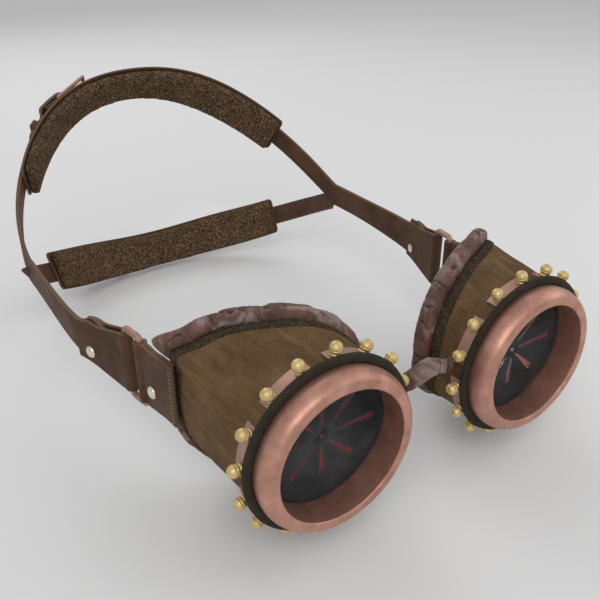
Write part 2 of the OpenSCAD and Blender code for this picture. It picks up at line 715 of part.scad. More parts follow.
module pad_backing(b, w, end) {
    color(brown_leather) place() branch_strip(b, end, 180 - end, w, backing_in, backing_out);
}
module pad_cushion(b, w, end) {
    steps = branch_steps(end, 180 - end);
    end_inset = 0.4;
    first = backing_in - backing_gap;
    color(felt_grey) place() skin([for (i = [0:steps]) let (t = i / steps,
            a = i == 0 ? end + end_inset : i == steps ? 180 - end - end_inset : mix(end, 180 - end, t),
            k = end_taper(t), half = w / 2 * k - 0.4, in = first - pad_t * k)
        frame_ring(branch_frame(b, a), [[-half + 0.5, first], [half - 0.5, first], [half, first - pad_t * 0.3],
            [half - 0.8, in + 1], [half * 0.5, in - pad_crown * 0.2], [0, in - pad_crown * 0.5],
            [-half * 0.5, in - pad_crown * 0.2], [-half + 0.8, in + 1], [-half, first - pad_t * 0.3]])]);
}

side(-1) cup_shell();  // right_cup_shell
side(1) cup_shell();  // left_cup_shell
side(-1) lens_tube();  // right_lens_tube
side(1) lens_tube();  // left_lens_tube
side(-1) bezel();  // right_bezel
side(1) bezel();  // left_bezel
side(-1) gasket();  // right_gasket
side(1) gasket();  // left_gasket
side(-1) lens();  // right_lens
side(1) lens();  // left_lens
side(-1) slot_plate();  // right_slot_plate
side(1) slot_plate();  // left_slot_plate
side(-1) red_filter();  // right_red_filter
side(1) red_filter();  // left_red_filter
side(-1) clips();  // right_clips
side(1) clips();  // left_clips
side(-1) clip_rivets();  // right_clip_rivets
side(1) clip_rivets();  // left_clip_rivets
side(-1) seam_band();  // right_seam_band
side(1) seam_band();  // left_seam_band
side(-1) face_roll();  // right_face_roll
side(1) face_roll();  // left_face_roll
side(-1) cup_tab();  // right_cup_tab
side(1) cup_tab();  // left_cup_tab
side(-1) cup_tab_rivet();  // right_cup_tab_rivet
side(1) cup_tab_rivet();  // left_cup_tab_rivet
side(-1) link();  // right_link
side(1) link();  // left_link
side(-1) strap_tab();  // right_strap_tab
side(1) strap_tab();  // left_strap_tab
side(-1) strap_tab_rivet();  // right_strap_tab_rivet
side(1) strap_tab_rivet();  // left_strap_tab_rivet
side(-1) bridge(right_ribbon);  // right_bridge
side(1) bridge(left_ribbon);  // left_bridge
side(-1) fixed_strap();  // right_strap
side(1) tongue_strap();  // left_strap
pad_cushion(upper_branch, upper_pad_w, pad_end);  // upper_pad
pad_cushion(lower_branch, lower_pad_w, lower_pad_end);  // lower_pad
pad_backing(upper_branch, upper_pad_w, pad_end);  // upper_pad_backing
pad_backing(lower_branch, lower_pad_w, lower_pad_end);  // lower_pad_backing
buckle_frame(upper_branch);  // upper_buckle
buckle_frame(lower_branch);  // lower_buckle
buckle_prong(upper_branch);  // upper_prong
buckle_prong(lower_branch);  // lower_prong
keeper(upper_branch);  // upper_keeper
keeper(lower_branch);  // lower_keeper
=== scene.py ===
"""Looks of a pair of round-lens riveted goggles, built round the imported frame."""

import json
import logging
import math
from collections.abc import Callable, Sequence
from dataclasses import dataclass, field
from enum import Enum

import bmesh
import bpy
import numpy as np
from mathutils import Matrix, Vector, noise

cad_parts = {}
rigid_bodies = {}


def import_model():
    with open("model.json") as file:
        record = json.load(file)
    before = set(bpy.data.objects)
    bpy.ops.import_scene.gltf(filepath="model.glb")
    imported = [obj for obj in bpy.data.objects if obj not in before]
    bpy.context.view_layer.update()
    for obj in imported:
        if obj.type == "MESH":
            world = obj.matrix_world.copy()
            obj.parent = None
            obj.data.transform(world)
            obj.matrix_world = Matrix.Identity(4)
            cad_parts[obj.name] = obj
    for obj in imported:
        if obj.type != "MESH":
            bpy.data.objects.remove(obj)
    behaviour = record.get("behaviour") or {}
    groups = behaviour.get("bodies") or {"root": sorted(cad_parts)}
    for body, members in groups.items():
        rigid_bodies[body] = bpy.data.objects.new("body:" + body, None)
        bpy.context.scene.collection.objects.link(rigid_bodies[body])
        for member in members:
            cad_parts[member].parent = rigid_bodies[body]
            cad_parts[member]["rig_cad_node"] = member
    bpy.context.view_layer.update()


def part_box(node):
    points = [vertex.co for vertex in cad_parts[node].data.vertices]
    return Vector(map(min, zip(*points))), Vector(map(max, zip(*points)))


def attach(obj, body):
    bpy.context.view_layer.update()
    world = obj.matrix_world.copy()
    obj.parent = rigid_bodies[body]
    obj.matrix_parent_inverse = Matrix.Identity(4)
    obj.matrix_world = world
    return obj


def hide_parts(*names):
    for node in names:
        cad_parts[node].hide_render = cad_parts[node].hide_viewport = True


LOG = logging.getLogger("goggles")
MM = 0.001
FLOAT, VECTOR, INT = "NodeSocketFloat", "NodeSocketVector", "NodeSocketInt"
Array = np.ndarray
Rgb = tuple[float, float, float]
Obj = bpy.types.Object
Node = bpy.types.Node
NodeTree = bpy.types.NodeTree
Socket = bpy.types.NodeSocket
Sockets = bpy.types.bpy_prop_collection


class Side(Enum):
    """The wearer's side that a piece belongs to; its value is the sign of X."""

    RIGHT = -1
    LEFT = 1

    @property
    def word(self) -> str:
        """The side's name as the frame's nodes spell it."""
        return self.name.lower()


@dataclass
class Layout:
    """Sizes of the goggles in millimetres, measured from the middle between the lenses.

    The lens fronts lie at depth 0 and the lens axes at height 0.
    """

    lens_x: float = 43.0
    clip_r: float = 29.7
    shell_r: float = 28.7
    shell_bore: float = 27.2
    cup_wall: float = 1.5
    straight: float = 5.0
    flare_x: float = 27.9
    flare_z: float = 30.3
    face_near: float = 8.0
    face_slope: float = 0.22
    face_wrap: float = 20.0
    face_half: float = 73.0
    cheek_depth: float = 5.0
    cheek_span: float = 25.0
    cup_shift: float = 0.2
    tab_flat: float = 0.6
    corner: float = 3.2
    corner_turn: float = 36.0
    corner_width: float = 10.0
    band_w: float = 4.4
    roll_depth: float = 7.4
    seam: float = 0.1
    origin_y: float = 0.0
    origin_z: float = 0.0

    def find_origin(self) -> None:
        """Reads the row frame's shift from the left lens, whose front is depth 0."""
        low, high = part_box("left_lens")
        self.origin_y = -low.y / MM
        self.origin_z = -(low.z + high.z) / 2 / MM

    def row(self, points: Array) -> Array:
        """Moves points from the layout to the row frame.

        Args:
            points: Points in millimetres, one per row.

        Returns:
            The same points in metres, in the row frame.
        """
        return (np.asarray(points, float) - [0, self.origin_y, self.origin_z]) * MM

    def edge_x(self, a: float) -> float:
        """Half-width of the face edge at turn a, signed, from the lens axis."""
        c, bump = math.cos(a), self.corner * bell(signed(a), self.corner_turn, self.corner_width)
        return self.cup_shift + bump + self.flare_x * (c**self.tab_flat if c > 0 else c)

    def edge_z(self, a: float) -> float:
        """Height of the face edge at turn a."""
        return self.flare_z * math.sin(a)

    def face_y(self, x: float, z: float) -> float:
        """Depth of the face line at x from the middle and height z."""
        wrap = self.face_slope * x + self.face_wrap * (x / self.face_half) ** 4
        return self.face_near + wrap + self.cheek_depth * smooth(-z / self.cheek_span)

    def edge_point(self, a: float, out: float, back: float) -> Array:
        """Point near the left cup's face edge.

        Args:
            a: Turn about the lens axis from the temple over the top, in radians.
            out: Distance outside the edge.
            back: Distance behind the edge.

        Returns:
            The point in millimetres.
        """
        d = np.array([math.cos(a) * self.flare_z, math.sin(a) * self.flare_x])
        d /= np.linalg.norm(d)
        x, z = self.edge_x(a), self.edge_z(a)
        depth = self.face_y(self.lens_x + x, z) + back
        return np.array([self.lens_x + x + d[0] * out, depth, z + d[1] * out])


@dataclass
class Branch:
    """One branch of the headband, from the wearer's left round the back."""

    depth: float
    side_z: float
    rise: float
    power: float
    lean_side: float
    lean: float
    half: float = 84.4
    start_y: float = 166.0
    square: float = 0.94
    lean_power: float = 2.5

    def point(self, a: float) -> Array:
        """Middle of the branch at turn a in degrees.

        Args:
            a: The turn, from the wearer's left round the back, in degrees.

        Returns:
            The point in millimetres.
        """
        s, c = math.sin(math.radians(a)), math.cos(math.radians(a))
        height = self.side_z + self.rise * max(s, 0) ** self.power
        return np.array([self.half * squared(c, self.square), self.start_y + self.depth * s, height])

    def frame(self, a: float) -> tuple[Array, Array, Array, Array]:
        """Point, across, outward and along directions at turn a in degrees.

        Args:
            a: The turn in degrees.

        Returns:
            The point in millimetres and the three directions.
        """
        p, along = self.point(a), unit(self.point(a + 0.5) - self.point(a - 0.5))
        level = unit(np.array([along[1], -along[0], 0]))
        blend = max(math.sin(math.radians(a)), 0) ** self.lean_power
        lean = math.radians(self.lean_side + (self.lean - self.lean_side) * blend)
        up = np.array([0, 0, math.cos(lean)]) - level * math.sin(lean)
        across = unit(up - along * (up @ along))
        return p, across, np.cross(along, across), along

    def turn_length(self, a: float) -> float:
        """Length of the branch along one degree at turn a."""
        return float(np.linalg.norm(self.point(a + 0.5) - self.point(a - 0.5)))

    def ring(self, a: float, section: Sequence[tuple[float, float]]) -> Array:
        """Section points (across, outward) set at turn a."""
        p, across, out, _ = self.frame(a)
        return np.array([p + across * q[0] + out * q[1] for q in section])


UPPER = Branch(depth=78.7, side_z=3.0, rise=58.0, power=1.3, lean_side=0.0, lean=32.0)
LOWER = Branch(depth=62.0, side_z=-0.6, rise=-30.0, power=1.05, lean_side=-32.0, lean=-12.0)


def unit(v: Array) -> Array:
    """The vector at length one."""
    return v / np.linalg.norm(v)


def signed(a: float) -> float:
    """A turn of 0..2 pi as degrees from -180 to 180."""
    return math.degrees(a) - (360.0 if a > math.pi else 0.0)


def smooth(t: float) -> float:
    """Smooth step of t clamped to 0..1."""
    k = min(max(t, 0.0), 1.0)
    return k * k * (3 - 2 * k)


def bell(a: float, middle: float, width: float) -> float:
    """Bell curve of height one."""
    return math.exp(-(((a - middle) / width) ** 2))


def mix(a: float, b: float, t: float) -> float:
    """Linear mix of a and b."""
    return a + (b - a) * t


def squared(c: float, power: float) -> float:
    """A sine or cosine drawn towards a square's sides by a power below one."""
    return math.copysign(abs(c) ** power, c)


def circle(count: int) -> list[float]:
    """Even turns round a circle, in radians."""
    return [math.tau * j / count for j in range(count)]


def ends_first(low: float, high: float, count: int, even: float = 0.35) -> list[float]:
    """Stations from low to high, closer together near both ends; even is the share of even spacing."""
    t = np.linspace(0, 1, count)
    return [float(v) for v in low + (high - low) * (even * t + (1 - even) * (1 - np.cos(np.pi * t)) / 2)]


def wander(p: Sequence[float], scale: float, depth: int = 3) -> float:
    """Fractal noise at a point.

    Args:
        p: Point in millimetres.
        scale: Size of the largest bumps in millimetres.
        depth: Number of octaves.

    Returns:
        A value of about -1..1.
    """
    return noise.fractal(Vector(p) / scale, 1.0, 2.0, depth)


# Section of a strap with rounded corners: the first turn of each corner, three steps of 30 degrees, and
# the rim mask, which is 1 on the cut edges.
STRIP_TURNS = [math.radians(start - step * 30) for start in (270, 180, 90, 0) for step in range(4)]
STRIP_RIM = [abs(math.cos(t)) for t in STRIP_TURNS]


def round_strip(width: float, low: float, high: float, soft: float = 0.45) -> list[tuple[float, float]]:
    """Section of a strap with rounded corners.

    Args:
        width: Width of the strap.
        low: Inner face.
        high: Outer face.
        soft: Corner radius.

    Returns:
        Points (across, outward), in the order of STRIP_TURNS.
    """
    side, low, high = width / 2 - soft, low + soft, high - soft
    corners = ((-side, low), (-side, high), (side, high), (side, low))
    centres = [corner for corner in corners for _ in range(4)]
    return [(x + soft * math.cos(t), z + soft * math.sin(t)) for (x, z), t in zip(centres, STRIP_TURNS)]


def linked(name: str, data: bpy.types.ID) -> Obj:
    """New object for a mesh, camera or lamp, linked to the scene.

    Args:
        name: Name of the object.
        data: What it shows.

    Returns:
        The new object.
    """
    obj = bpy.data.objects.new(name, data)
    bpy.context.scene.collection.objects.link(obj)
    return obj


def put(name: str, verts: Array, faces: Sequence[Sequence[int]], side: Side | None = None) -> Obj:
    """Makes a mesh object from row-frame points.

    Args:
        name: Name of the object.
        verts: Points in metres.
        faces: Faces as point indices.
        side: The right side mirrors the shape.

    Returns:
        The new object, with outward normals and smooth faces.
    """
    verts = np.array(verts, float)
    if side is Side.RIGHT:
        verts[:, 0] *= -1
    mesh = bpy.data.meshes.new(name)
    mesh.from_pydata([tuple(v) for v in verts], [], [tuple(f) for f in faces])
    bm = bmesh.new()
    bm.from_mesh(mesh)
    bmesh.ops.recalc_face_normals(bm, faces=bm.faces)
    bm.to_mesh(mesh)
    bm.free()
    mesh.shade_smooth()
    return linked(name, mesh)


def point_value(obj: Obj, name: str, values: Sequence[float]) -> None:
    """Stores a number per point on a mesh, for its material."""
    attribute = obj.data.attributes.new(name, "FLOAT", "POINT")
    attribute.data.foreach_set("value", np.asarray(values, np.float32))


def loft(
    name: str,
    rings: Sequence[Array],
    side: Side | None = None,
    wrap: bool = False,
    rim: Sequence[float] | None = None,
) -> Obj:
    """Skins a row of closed rings, and stores the run along them, the girth and the rim mask per point.

    Args:
        name: Name of the object.
        rings: Rings of row-frame points in metres.
        side: The right side mirrors the shape.
        wrap: Joins the last ring to the first instead of capping both.
        rim: The rim mask of each point of a ring.

    Returns:
        The new object.
    """
    m, n = len(rings), len(rings[0])
    verts = np.concatenate([np.asarray(r) for r in rings])
    faces = []
    for i in range(m if wrap else m - 1):
        k = (i + 1) % m
        faces += [(i * n + j, i * n + (j + 1) % n, k * n + (j + 1) % n, k * n + j) for j in range(n)]
    if not wrap:
        faces += [tuple(range(n))[::-1], tuple(range((m - 1) * n, m * n))]
    obj = put(name, verts, faces, side)
    along = [np.linalg.norm(np.mean(rings[i + 1] - rings[i], 0)) for i in range(m - 1)]
    around = np.linalg.norm(np.diff(rings[m // 2], axis=0), axis=1)
    point_value(obj, "run", np.repeat(np.concatenate([[0], np.cumsum(along)]), n))
    point_value(obj, "girth", np.tile(np.concatenate([[0], np.cumsum(around)]), m))
    if rim is not None:
        point_value(obj, "rim", np.tile(rim, m))
    return obj


def spun(
    name: str, profile: Sequence[tuple[float, float]], layout: Layout, side: Side, sides: int = 160
) -> Obj:
    """Turns a closed profile about a lens axis.

    Args:
        name: Name of the object.
        profile: Points (radius, station in front of the lens) in millimetres.
        layout: Sizes of the goggles.
        side: Side of the piece.
        sides: Number of sides.

    Returns:
        The new object.
    """
    x = layout.lens_x
    rings = [
        layout.row([[x + r * math.cos(a), -s, r * math.sin(a)] for r, s in profile]) for a in circle(sides)
    ]
    return loft(name, rings, side, wrap=True)


def is_sharp(edge: bmesh.types.BMEdge, degrees: float) -> bool:
    """Whether an edge between two faces turns by more than an angle."""
    return len(edge.link_faces) == 2 and edge.calc_face_angle(0) > math.radians(degrees)


def sharpen(bm: bmesh.types.BMesh, degrees: float) -> None:
    """Shades a mesh smooth, except at edges sharper than an angle.

    Args:
        bm: The mesh.
        degrees: The angle.
    """
    for face in bm.faces:
        face.smooth = True
    for edge in bm.edges:
        edge.smooth = not is_sharp(edge, degrees)


def crisp(obj: Obj, degrees: float) -> None:
    """Shades an object smooth, except at edges sharper than an angle.

    Args:
        obj: The object.
        degrees: The angle.
    """
    bm = bmesh.new()
    bm.from_mesh(obj.data)
    sharpen(bm, degrees)
    bm.to_mesh(obj.data)
    bm.free()


def tab_rim(bm: bmesh.types.BMesh, end: Vector) -> list[float]:
    """Rim mask of a tab: 1 on its cut end and on its upper and lower edges.

    Args:
        bm: The tab's mesh.
        end: Direction of its cut end.

    Returns:
        The mask of each point.
    """
    last = max(v.co.dot(end) for v in bm.verts) - 2.5 * MM
    rim = []
    for v in bm.verts:
        cut = smooth((v.normal.dot(end) - 0.4) / 0.35) if v.co.dot(end) > last else 0.0
        rim.append(max(smooth((abs(v.normal.z) - 0.3) / 0.4), cut))
    return rim


def softened(node: str, name: str, width: float, segments: int = 2, end: Vector | None = None) -> Obj:
    """Copy of a frame node with merged points, clean faces and rounded edges.

    Args:
        node: The frame node.
        name: Name of the new piece.
        width: Width of the rounding in millimetres.
        segments: Steps of the rounding.
        end: Direction of a tab's cut end, for its rim mask.

    Returns:
        The new object, standing for the node.
    """
    mesh = bpy.data.objects[node].data.copy()
    mesh.materials.clear()
    bm = bmesh.new()
    bm.from_mesh(mesh)
    bmesh.ops.remove_doubles(bm, verts=bm.verts, dist=2e-6)
    bmesh.ops.dissolve_degenerate(bm, edges=bm.edges, dist=1e-6)
    bmesh.ops.dissolve_limit(bm, angle_limit=math.radians(2), verts=bm.verts, edges=bm.edges)
    sharp = [e for e in bm.edges if is_sharp(e, 40)]
    bmesh.ops.bevel(
        bm, geom=sharp, offset=width * MM, segments=segments, profile=0.5, affect="EDGES", clamp_overlap=True
    )
    bmesh.ops.triangulate(bm, faces=bm.faces)
    sharpen(bm, 38)
    bm.normal_update()
    rim = None if end is None else tab_rim(bm, end)
    bm.to_mesh(mesh)
    bm.free()
    for stale in [a.name for a in mesh.attributes if a.name.startswith("_")]:
        mesh.attributes.remove(mesh.attributes[stale])
    obj = linked(name, mesh)
    if rim is not None:
        point_value(obj, "rim", rim)
    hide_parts(node)
    return obj


def joined(name: str, pieces: Sequence[Obj]) -> Obj:
    """Joins pieces into one object.

    Args:
        name: Name of the joined object.
        pieces: The pieces; they are used up.

    Returns:
        The joined object.
    """
    with bpy.context.temp_override(
        active_object=pieces[0], selected_editable_objects=list(pieces), selected_objects=list(pieces)
    ):
        bpy.ops.object.join()
    pieces[0].name = name
    pieces[0].data.name = name
    return pieces[0]


def rgba(c: Rgb) -> tuple[float, float, float, float]:
    """A colour with full alpha."""
    return (*c, 1.0)


class Graph:
    """Short way to lay nodes in a material or a node group."""

    def __init__(self, tree: NodeTree) -> None:
        """Takes the tree to build in."""
        self.tree = tree

    def add(self, kind: str, settings: dict | None = None, **inputs: object) -> Node:
        """Adds a node.

        Args:
            kind: The node's type name.
            settings: Properties of the node.
            **inputs: Values or sockets, as feed takes them.

        Returns:
            The new node.
        """
        node = self.tree.nodes.new(kind)
        for key, value in (settings or {}).items():
            setattr(node, key, value)
        self.feed(node, **inputs)
        return node

    def feed(self, node: Node, **inputs: object) -> None:
        """Links or sets inputs of a node.

        Args:
            node: The node.
            **inputs: Values or sockets by input name with _ for spaces, or by _ and the input's number.
        """
        for key, value in inputs.items():
            socket = node.inputs[int(key[1:]) if key.startswith("_") else key.replace("_", " ")]
            if isinstance(value, Socket):
                self.tree.links.new(value, socket)
            else:
                socket.default_value = value

    def group(self, tree: NodeTree, **inputs: object) -> Sockets:
        """Places a shader group and returns its outputs."""
        return self.add("ShaderNodeGroup", {"node_tree": tree}, **inputs).outputs

    def where(self) -> Socket:
        """Object coordinates."""
        return self.add("ShaderNodeTexCoord").outputs["Object"]

    def attribute(self, name: str) -> Socket:
        """Number that the mesh stores for each point."""
        return self.add("ShaderNodeAttribute", {"attribute_name": name}).outputs["Fac"]

    def math(self, operation: str, a: object, b: object = 0.0) -> Socket:
        """Adds a Math node and returns its output."""
        return self.add("ShaderNodeMath", {"operation": operation}, _0=a, _1=b).outputs[0]

    def times(self, a: object, b: object) -> Socket:
        """Product of two numbers or sockets."""
        return self.math("MULTIPLY", a, b)

    def plus(self, a: object, b: object) -> Socket:
        """Sum of two numbers or sockets."""
        return self.math("ADD", a, b)

    def span(self, value: object, low: float, high: float, start: float = 0.0, end: float = 1.0) -> Socket:
        """Adds a clamped Map Range, from low and high to start and end, and returns its output."""
        limits = {"From_Min": low, "From_Max": high, "To_Min": start, "To_Max": end}
        return self.add("ShaderNodeMapRange", None, Value=value, **limits).outputs[0]

    def tint(self, factor: object, a: object, b: object) -> Socket:
        """Adds a colour mix and returns its output."""
        return self.add("ShaderNodeMix", {"data_type": "RGBA"}, _0=factor, _6=a, _7=b).outputs[2]

    def over(self, colour: object, mask: Socket, share: float, paint: Rgb) -> Socket:
        """Lays a share of a paint over a colour where a mask is one."""
        return self.tint(self.times(mask, share), colour, rgba(paint))

    def noise(
        self, where: object, scale: object, detail: float = 3.0, rough: float = 0.55, warp: float = 0.0
    ) -> Socket:
        """Adds a noise texture and returns its value."""
        look = {"Detail": detail, "Roughness": rough, "Distortion": warp}
        return self.add("ShaderNodeTexNoise", None, Vector=where, Scale=scale, **look).outputs["Fac"]

    def bump(self, height: Socket, depth_mm: float, strength: float) -> Socket:
        """Adds a Bump node and returns its normal."""
        inputs = {"Strength": strength, "Distance": depth_mm * MM, "Height": height}
        return self.add("ShaderNodeBump", None, **inputs).outputs[0]


def shader_group(name: str, scales: dict[str, float], outputs: Sequence[str], build: Callable) -> NodeTree:
    """Builds a shader node group once; the place goes in as a vector named Where.

    Args:
        name: Name of the group.
        scales: Default of each number that goes in.
        outputs: Names of the numbers that come out.
        build: Function that takes the graph and the inputs, and gives the outputs by name.

    Returns:
        The group.
    """
    if name in bpy.data.node_groups:
        return bpy.data.node_groups[name]
    tree = bpy.data.node_groups.new(name, "ShaderNodeTree")
    tree.interface.new_socket("Where", in_out="INPUT", socket_type=VECTOR)
    for label, default in scales.items():
        tree.interface.new_socket(label, in_out="INPUT", socket_type=FLOAT).default_value = default
    for label in outputs:
        tree.interface.new_socket(label, in_out="OUTPUT", socket_type=FLOAT)
    graph = Graph(tree)
    made = build(graph, graph.add("NodeGroupInput").outputs)
    graph.add("NodeGroupOutput", None, **made)
    return tree


def mottle_group() -> NodeTree:
    """Group that puts out large patches, fine grain and their joint height."""

    def build(g: Graph, given: Sockets) -> dict[str, Socket]:
        """Lays two noises and their mean.

        Args:
            g: The group's graph.
            given: The inputs by name.

        Returns:
            The outputs by name.
        """
        patches = g.span(g.noise(given["Where"], given["Patch Scale"], 4.0, 0.6, 0.4), 0.36, 0.66)
        grain = g.span(g.noise(given["Where"], given["Grain Scale"], 6.0, 0.65), 0.32, 0.68)
        height = g.plus(g.times(patches, 0.5), g.times(grain, 0.5))
        return {"Patches": patches, "Grain": grain, "Height": height}

    scales = {"Patch Scale": 60.0, "Grain Scale": 900.0}
    return shader_group("mottle", scales, ("Patches", "Grain", "Height"), build)


def pebble_group() -> NodeTree:
    """Group that puts out leather pebbles: a dark mask of their joints and a height."""

    def build(g: Graph, given: Sockets) -> dict[str, Socket]:
        """Lays cells that a coarse noise bends.

        Args:
            g: The group's graph.
            given: The inputs by name.

        Returns:
            The outputs by name.
        """
        where, sway = given["Where"], (0.0012,) * 3
        warp = g.add("ShaderNodeTexNoise", None, Vector=where, Scale=220.0, Detail=2.0).outputs["Color"]
        bent = g.add("ShaderNodeVectorMath", {"operation": "MULTIPLY_ADD"}, _0=warp, _1=sway, _2=where)
        edges = {"feature": "DISTANCE_TO_EDGE"}
        cells = g.add("ShaderNodeTexVoronoi", edges, Vector=bent.outputs[0], Scale=given["Scale"])
        joint = g.span(cells.outputs["Distance"], 0.0, 0.16, 1.0, 0.0)
        return {"Joints": joint, "Height": g.math("SUBTRACT", 1.0, joint)}

    return shader_group("pebbles", {"Scale": 900.0}, ("Joints", "Height"), build)


def fibre_group() -> NodeTree:
    """Group that puts out felt fibres, three turned and stretched noises, and specks."""
    turns = ((0.5, (1.0, 0.22, 0.5)), (-0.9, (0.25, 1.0, 0.6)), (1.7, (0.6, 0.5, 0.2)))

    def build(g: Graph, given: Sockets) -> dict[str, Socket]:
        """Lays the stretched noises and a round one.

        Args:
            g: The group's graph.
            given: The inputs by name.

        Returns:
            The outputs by name.
        """
        layers = []
        for turn, stretch in turns:
            how = {"Rotation": (turn, turn * 0.7, turn), "Scale": stretch}
            placed = g.add("ShaderNodeMapping", None, Vector=given["Where"], **how)
            layers.append(g.noise(placed.outputs[0], given["Scale"], 4.0, 0.7))
        woven = g.math("MAXIMUM", g.math("MAXIMUM", layers[0], layers[1]), layers[2])
        speck = g.noise(given["Where"], g.times(given["Scale"], 0.75), 2.0, 0.5)
        return {"Fibres": g.span(woven, 0.48, 0.74), "Specks": g.span(speck, 0.40, 0.62)}

    return shader_group("fibres", {"Scale": 1500.0}, ("Fibres", "Specks"), build)


@dataclass(frozen=True)
class Finish:
    """A material and the record's slot that it stands for."""

    name: str
    slot: str
    base: Rgb
    dark: Rgb
    light: Rgb
    roughness: float = 0.6

    def build(self) -> bpy.types.Material:
        """Makes the material once.

        Returns:
            The Blender material.
        """
        label = f"{self.name}_finish"
        if label in bpy.data.materials:
            return bpy.data.materials[label]
        material = bpy.data.materials.new(label)
        material.use_nodes = True
        material.node_tree.nodes.clear()
        graph = Graph(material.node_tree)
        shader = graph.add("ShaderNodeBsdfPrincipled")
        graph.add("ShaderNodeOutputMaterial", None, Surface=shader.outputs[0])
        self.paint(graph, shader)
        return material

    def paint(self, g: Graph, shader: Node) -> None:
        """Lays the finish's own nodes.

        Args:
            g: The material's graph.
            shader: Its Principled BSDF.
        """
        raise NotImplementedError


@dataclass(frozen=True)
class Metal(Finish):
    """Satin or polished metal with faint tarnish and scuffs."""

    tarnish: float = 0.35
    scuff: float = 0.12
    metallic: float = 1.0
    patch: float = 85.0
    grain: float = 2400.0
    glint: float = 0.18
    depth_mm: float = 0.012
    roughness: float = 0.32

    def paint(self, g: Graph, shader: Node) -> None:
        """Tarnish in patches, scuffs in roughness and a very fine bump.

        Args:
            g: The material's graph.
            shader: Its Principled BSDF.
        """
        spots = g.group(mottle_group(), Where=g.where(), Patch_Scale=self.patch, Grain_Scale=self.grain)
        worn = g.over(rgba(self.base), spots["Patches"], self.tarnish, self.dark)
        worn = g.over(worn, spots["Grain"], self.glint, self.light)
        rough = g.plus(self.roughness, g.times(spots["Height"], self.scuff))
        normal = g.bump(spots["Grain"], self.depth_mm, 0.6)
        g.feed(shader, Base_Color=worn, Metallic=self.metallic, Roughness=rough, Normal=normal)


@dataclass(frozen=True)
class Leather(Finish):
    """Leather with pebbles, patina and paler cut edges."""

    pebble: float = 1100.0
    patch: float = 90.0
    grain: float = 1800.0
    depth_mm: float = 0.07
    patina: float = 0.8
    dust: float = 0.16
    joints: float = 0.4
    edge: float = 0.75
    streaks: bool = False
    # Share and size of pale clouds of the light colour, partly wear and partly painted sheen.
    bloom: float = 0.0
    bloom_scale: float = 140.0
    specular: float = 0.3
    roughness: float = 0.62

    def bloomed(self, g: Graph, where: Socket, colour: Socket) -> Socket:
        """Colour with pale clouds, partly wear and partly painted sheen, and with painted shade along the
        creases.

        Args:
            g: The material's graph.
            where: Object coordinates.
            colour: The colour so far.

        Returns:
            The new colour.
        """
        # Pale clouds of the light colour: partly wear, partly painted sheen.
        wear_and_sheen_cloud = g.span(g.noise(where, self.bloom_scale, 5.0, 0.62, 1.2), 0.46, 0.62)
        colour = g.over(colour, wear_and_sheen_cloud, self.bloom, self.light)
        # Painted shade: the colour darkens along the roll's creases.
        return g.tint(g.attribute("crease"), colour, rgba(self.dark))

    def streaked(self, g: Graph, colour: Socket) -> tuple[Socket, Socket]:
        """Colour with streaks along the run of the piece, and the mask of the pale streaks.

        Args:
            g: The material's graph.
            colour: The colour so far.

        Returns:
            The new colour, and the mask.
        """
        run, girth = g.times(g.attribute("run"), 110.0), g.times(g.attribute("girth"), 420.0)
        laid = g.add("ShaderNodeCombineXYZ", None, X=run, Y=girth).outputs[0]
        streak = g.span(g.noise(laid, 1.0, 6.0, 0.68, 0.5), 0.40, 0.66)
        shade = g.span(g.noise(laid, 0.42, 4.0, 0.55, 0.8), 0.40, 0.64)
        colour = g.over(colour, streak, 0.26, self.light)
        return g.over(colour, shade, 0.5, self.dark), streak

    def paint(self, g: Graph, shader: Node) -> None:
        """Patina, pebbles, and where it has them pale clouds of wear and painted sheen, painted shade in the
        creases and streaks, and the rim.

        Args:
            g: The material's graph.
            shader: Its Principled BSDF.
        """
        where = g.where()
        spots = g.group(mottle_group(), Where=where, Patch_Scale=self.patch, Grain_Scale=self.grain)
        pebbles = g.group(pebble_group(), Where=where, Scale=self.pebble)
        colour = g.over(rgba(self.base), spots["Patches"], self.patina, self.dark)
        colour = g.over(colour, spots["Grain"], self.dust, self.light)
        colour = g.over(colour, pebbles["Joints"], self.joints, self.dark)
        height = g.plus(g.times(pebbles["Height"], 0.5), spots["Grain"])
        if self.bloom:
            colour = self.bloomed(g, where, colour)
        if self.streaks:
            colour, streak = self.streaked(g, colour)
            height = g.plus(height, g.times(streak, 0.3))
        ragged = g.times(g.attribute("rim"), g.plus(0.6, g.times(spots["Patches"], 0.4)))
        colour = g.over(colour, ragged, self.edge, self.light)
        rough = g.plus(self.roughness - 0.08, g.times(spots["Height"], 0.2))
        normal = g.bump(height, self.depth_mm, 0.8)
        g.feed(shader, Base_Color=colour, Roughness=rough, Specular_IOR_Level=self.specular, Normal=normal)


@dataclass(frozen=True)
class Felt(Finish):
    """Pressed felt: crossed fibres, pale and dark specks, and grit where it has it."""

    scale: float = 1500.0
    depth_mm: float = 0.25
    fibres: float = 0.85
    grit: float = 0.0
    specular: float = 0.1
    roughness: float = 0.95

    def paint(self, g: Graph, shader: Node) -> None:
        """Fibres over specks, grit, and faint patches.

        Args:
            g: The material's graph.
            shader: Its Principled BSDF.
        """
        where = g.where()
        fibres = g.group(fibre_group(), Where=where, Scale=self.scale)
        spots = g.group(mottle_group(), Where=where, Patch_Scale=120.0, Grain_Scale=1300.0)
        colour = g.tint(fibres["Specks"], rgba(self.dark), rgba(self.base))
        colour = g.over(colour, fibres["Fibres"], self.fibres, self.light)
        if self.grit:
            colour = g.over(colour, g.span(spots["Grain"], 0.56, 0.86), self.grit, self.light)
            colour = g.over(colour, g.span(spots["Grain"], 0.40, 0.14), self.grit, self.dark)
        colour = g.over(colour, spots["Patches"], 0.3, self.dark)
        normal = g.bump(g.plus(fibres["Fibres"], g.times(fibres["Specks"], 0.7)), self.depth_mm, 0.9)
        g.feed(shader, Base_Color=colour, Roughness=self.roughness, Normal=normal)
        g.feed(shader, Specular_IOR_Level=self.specular)


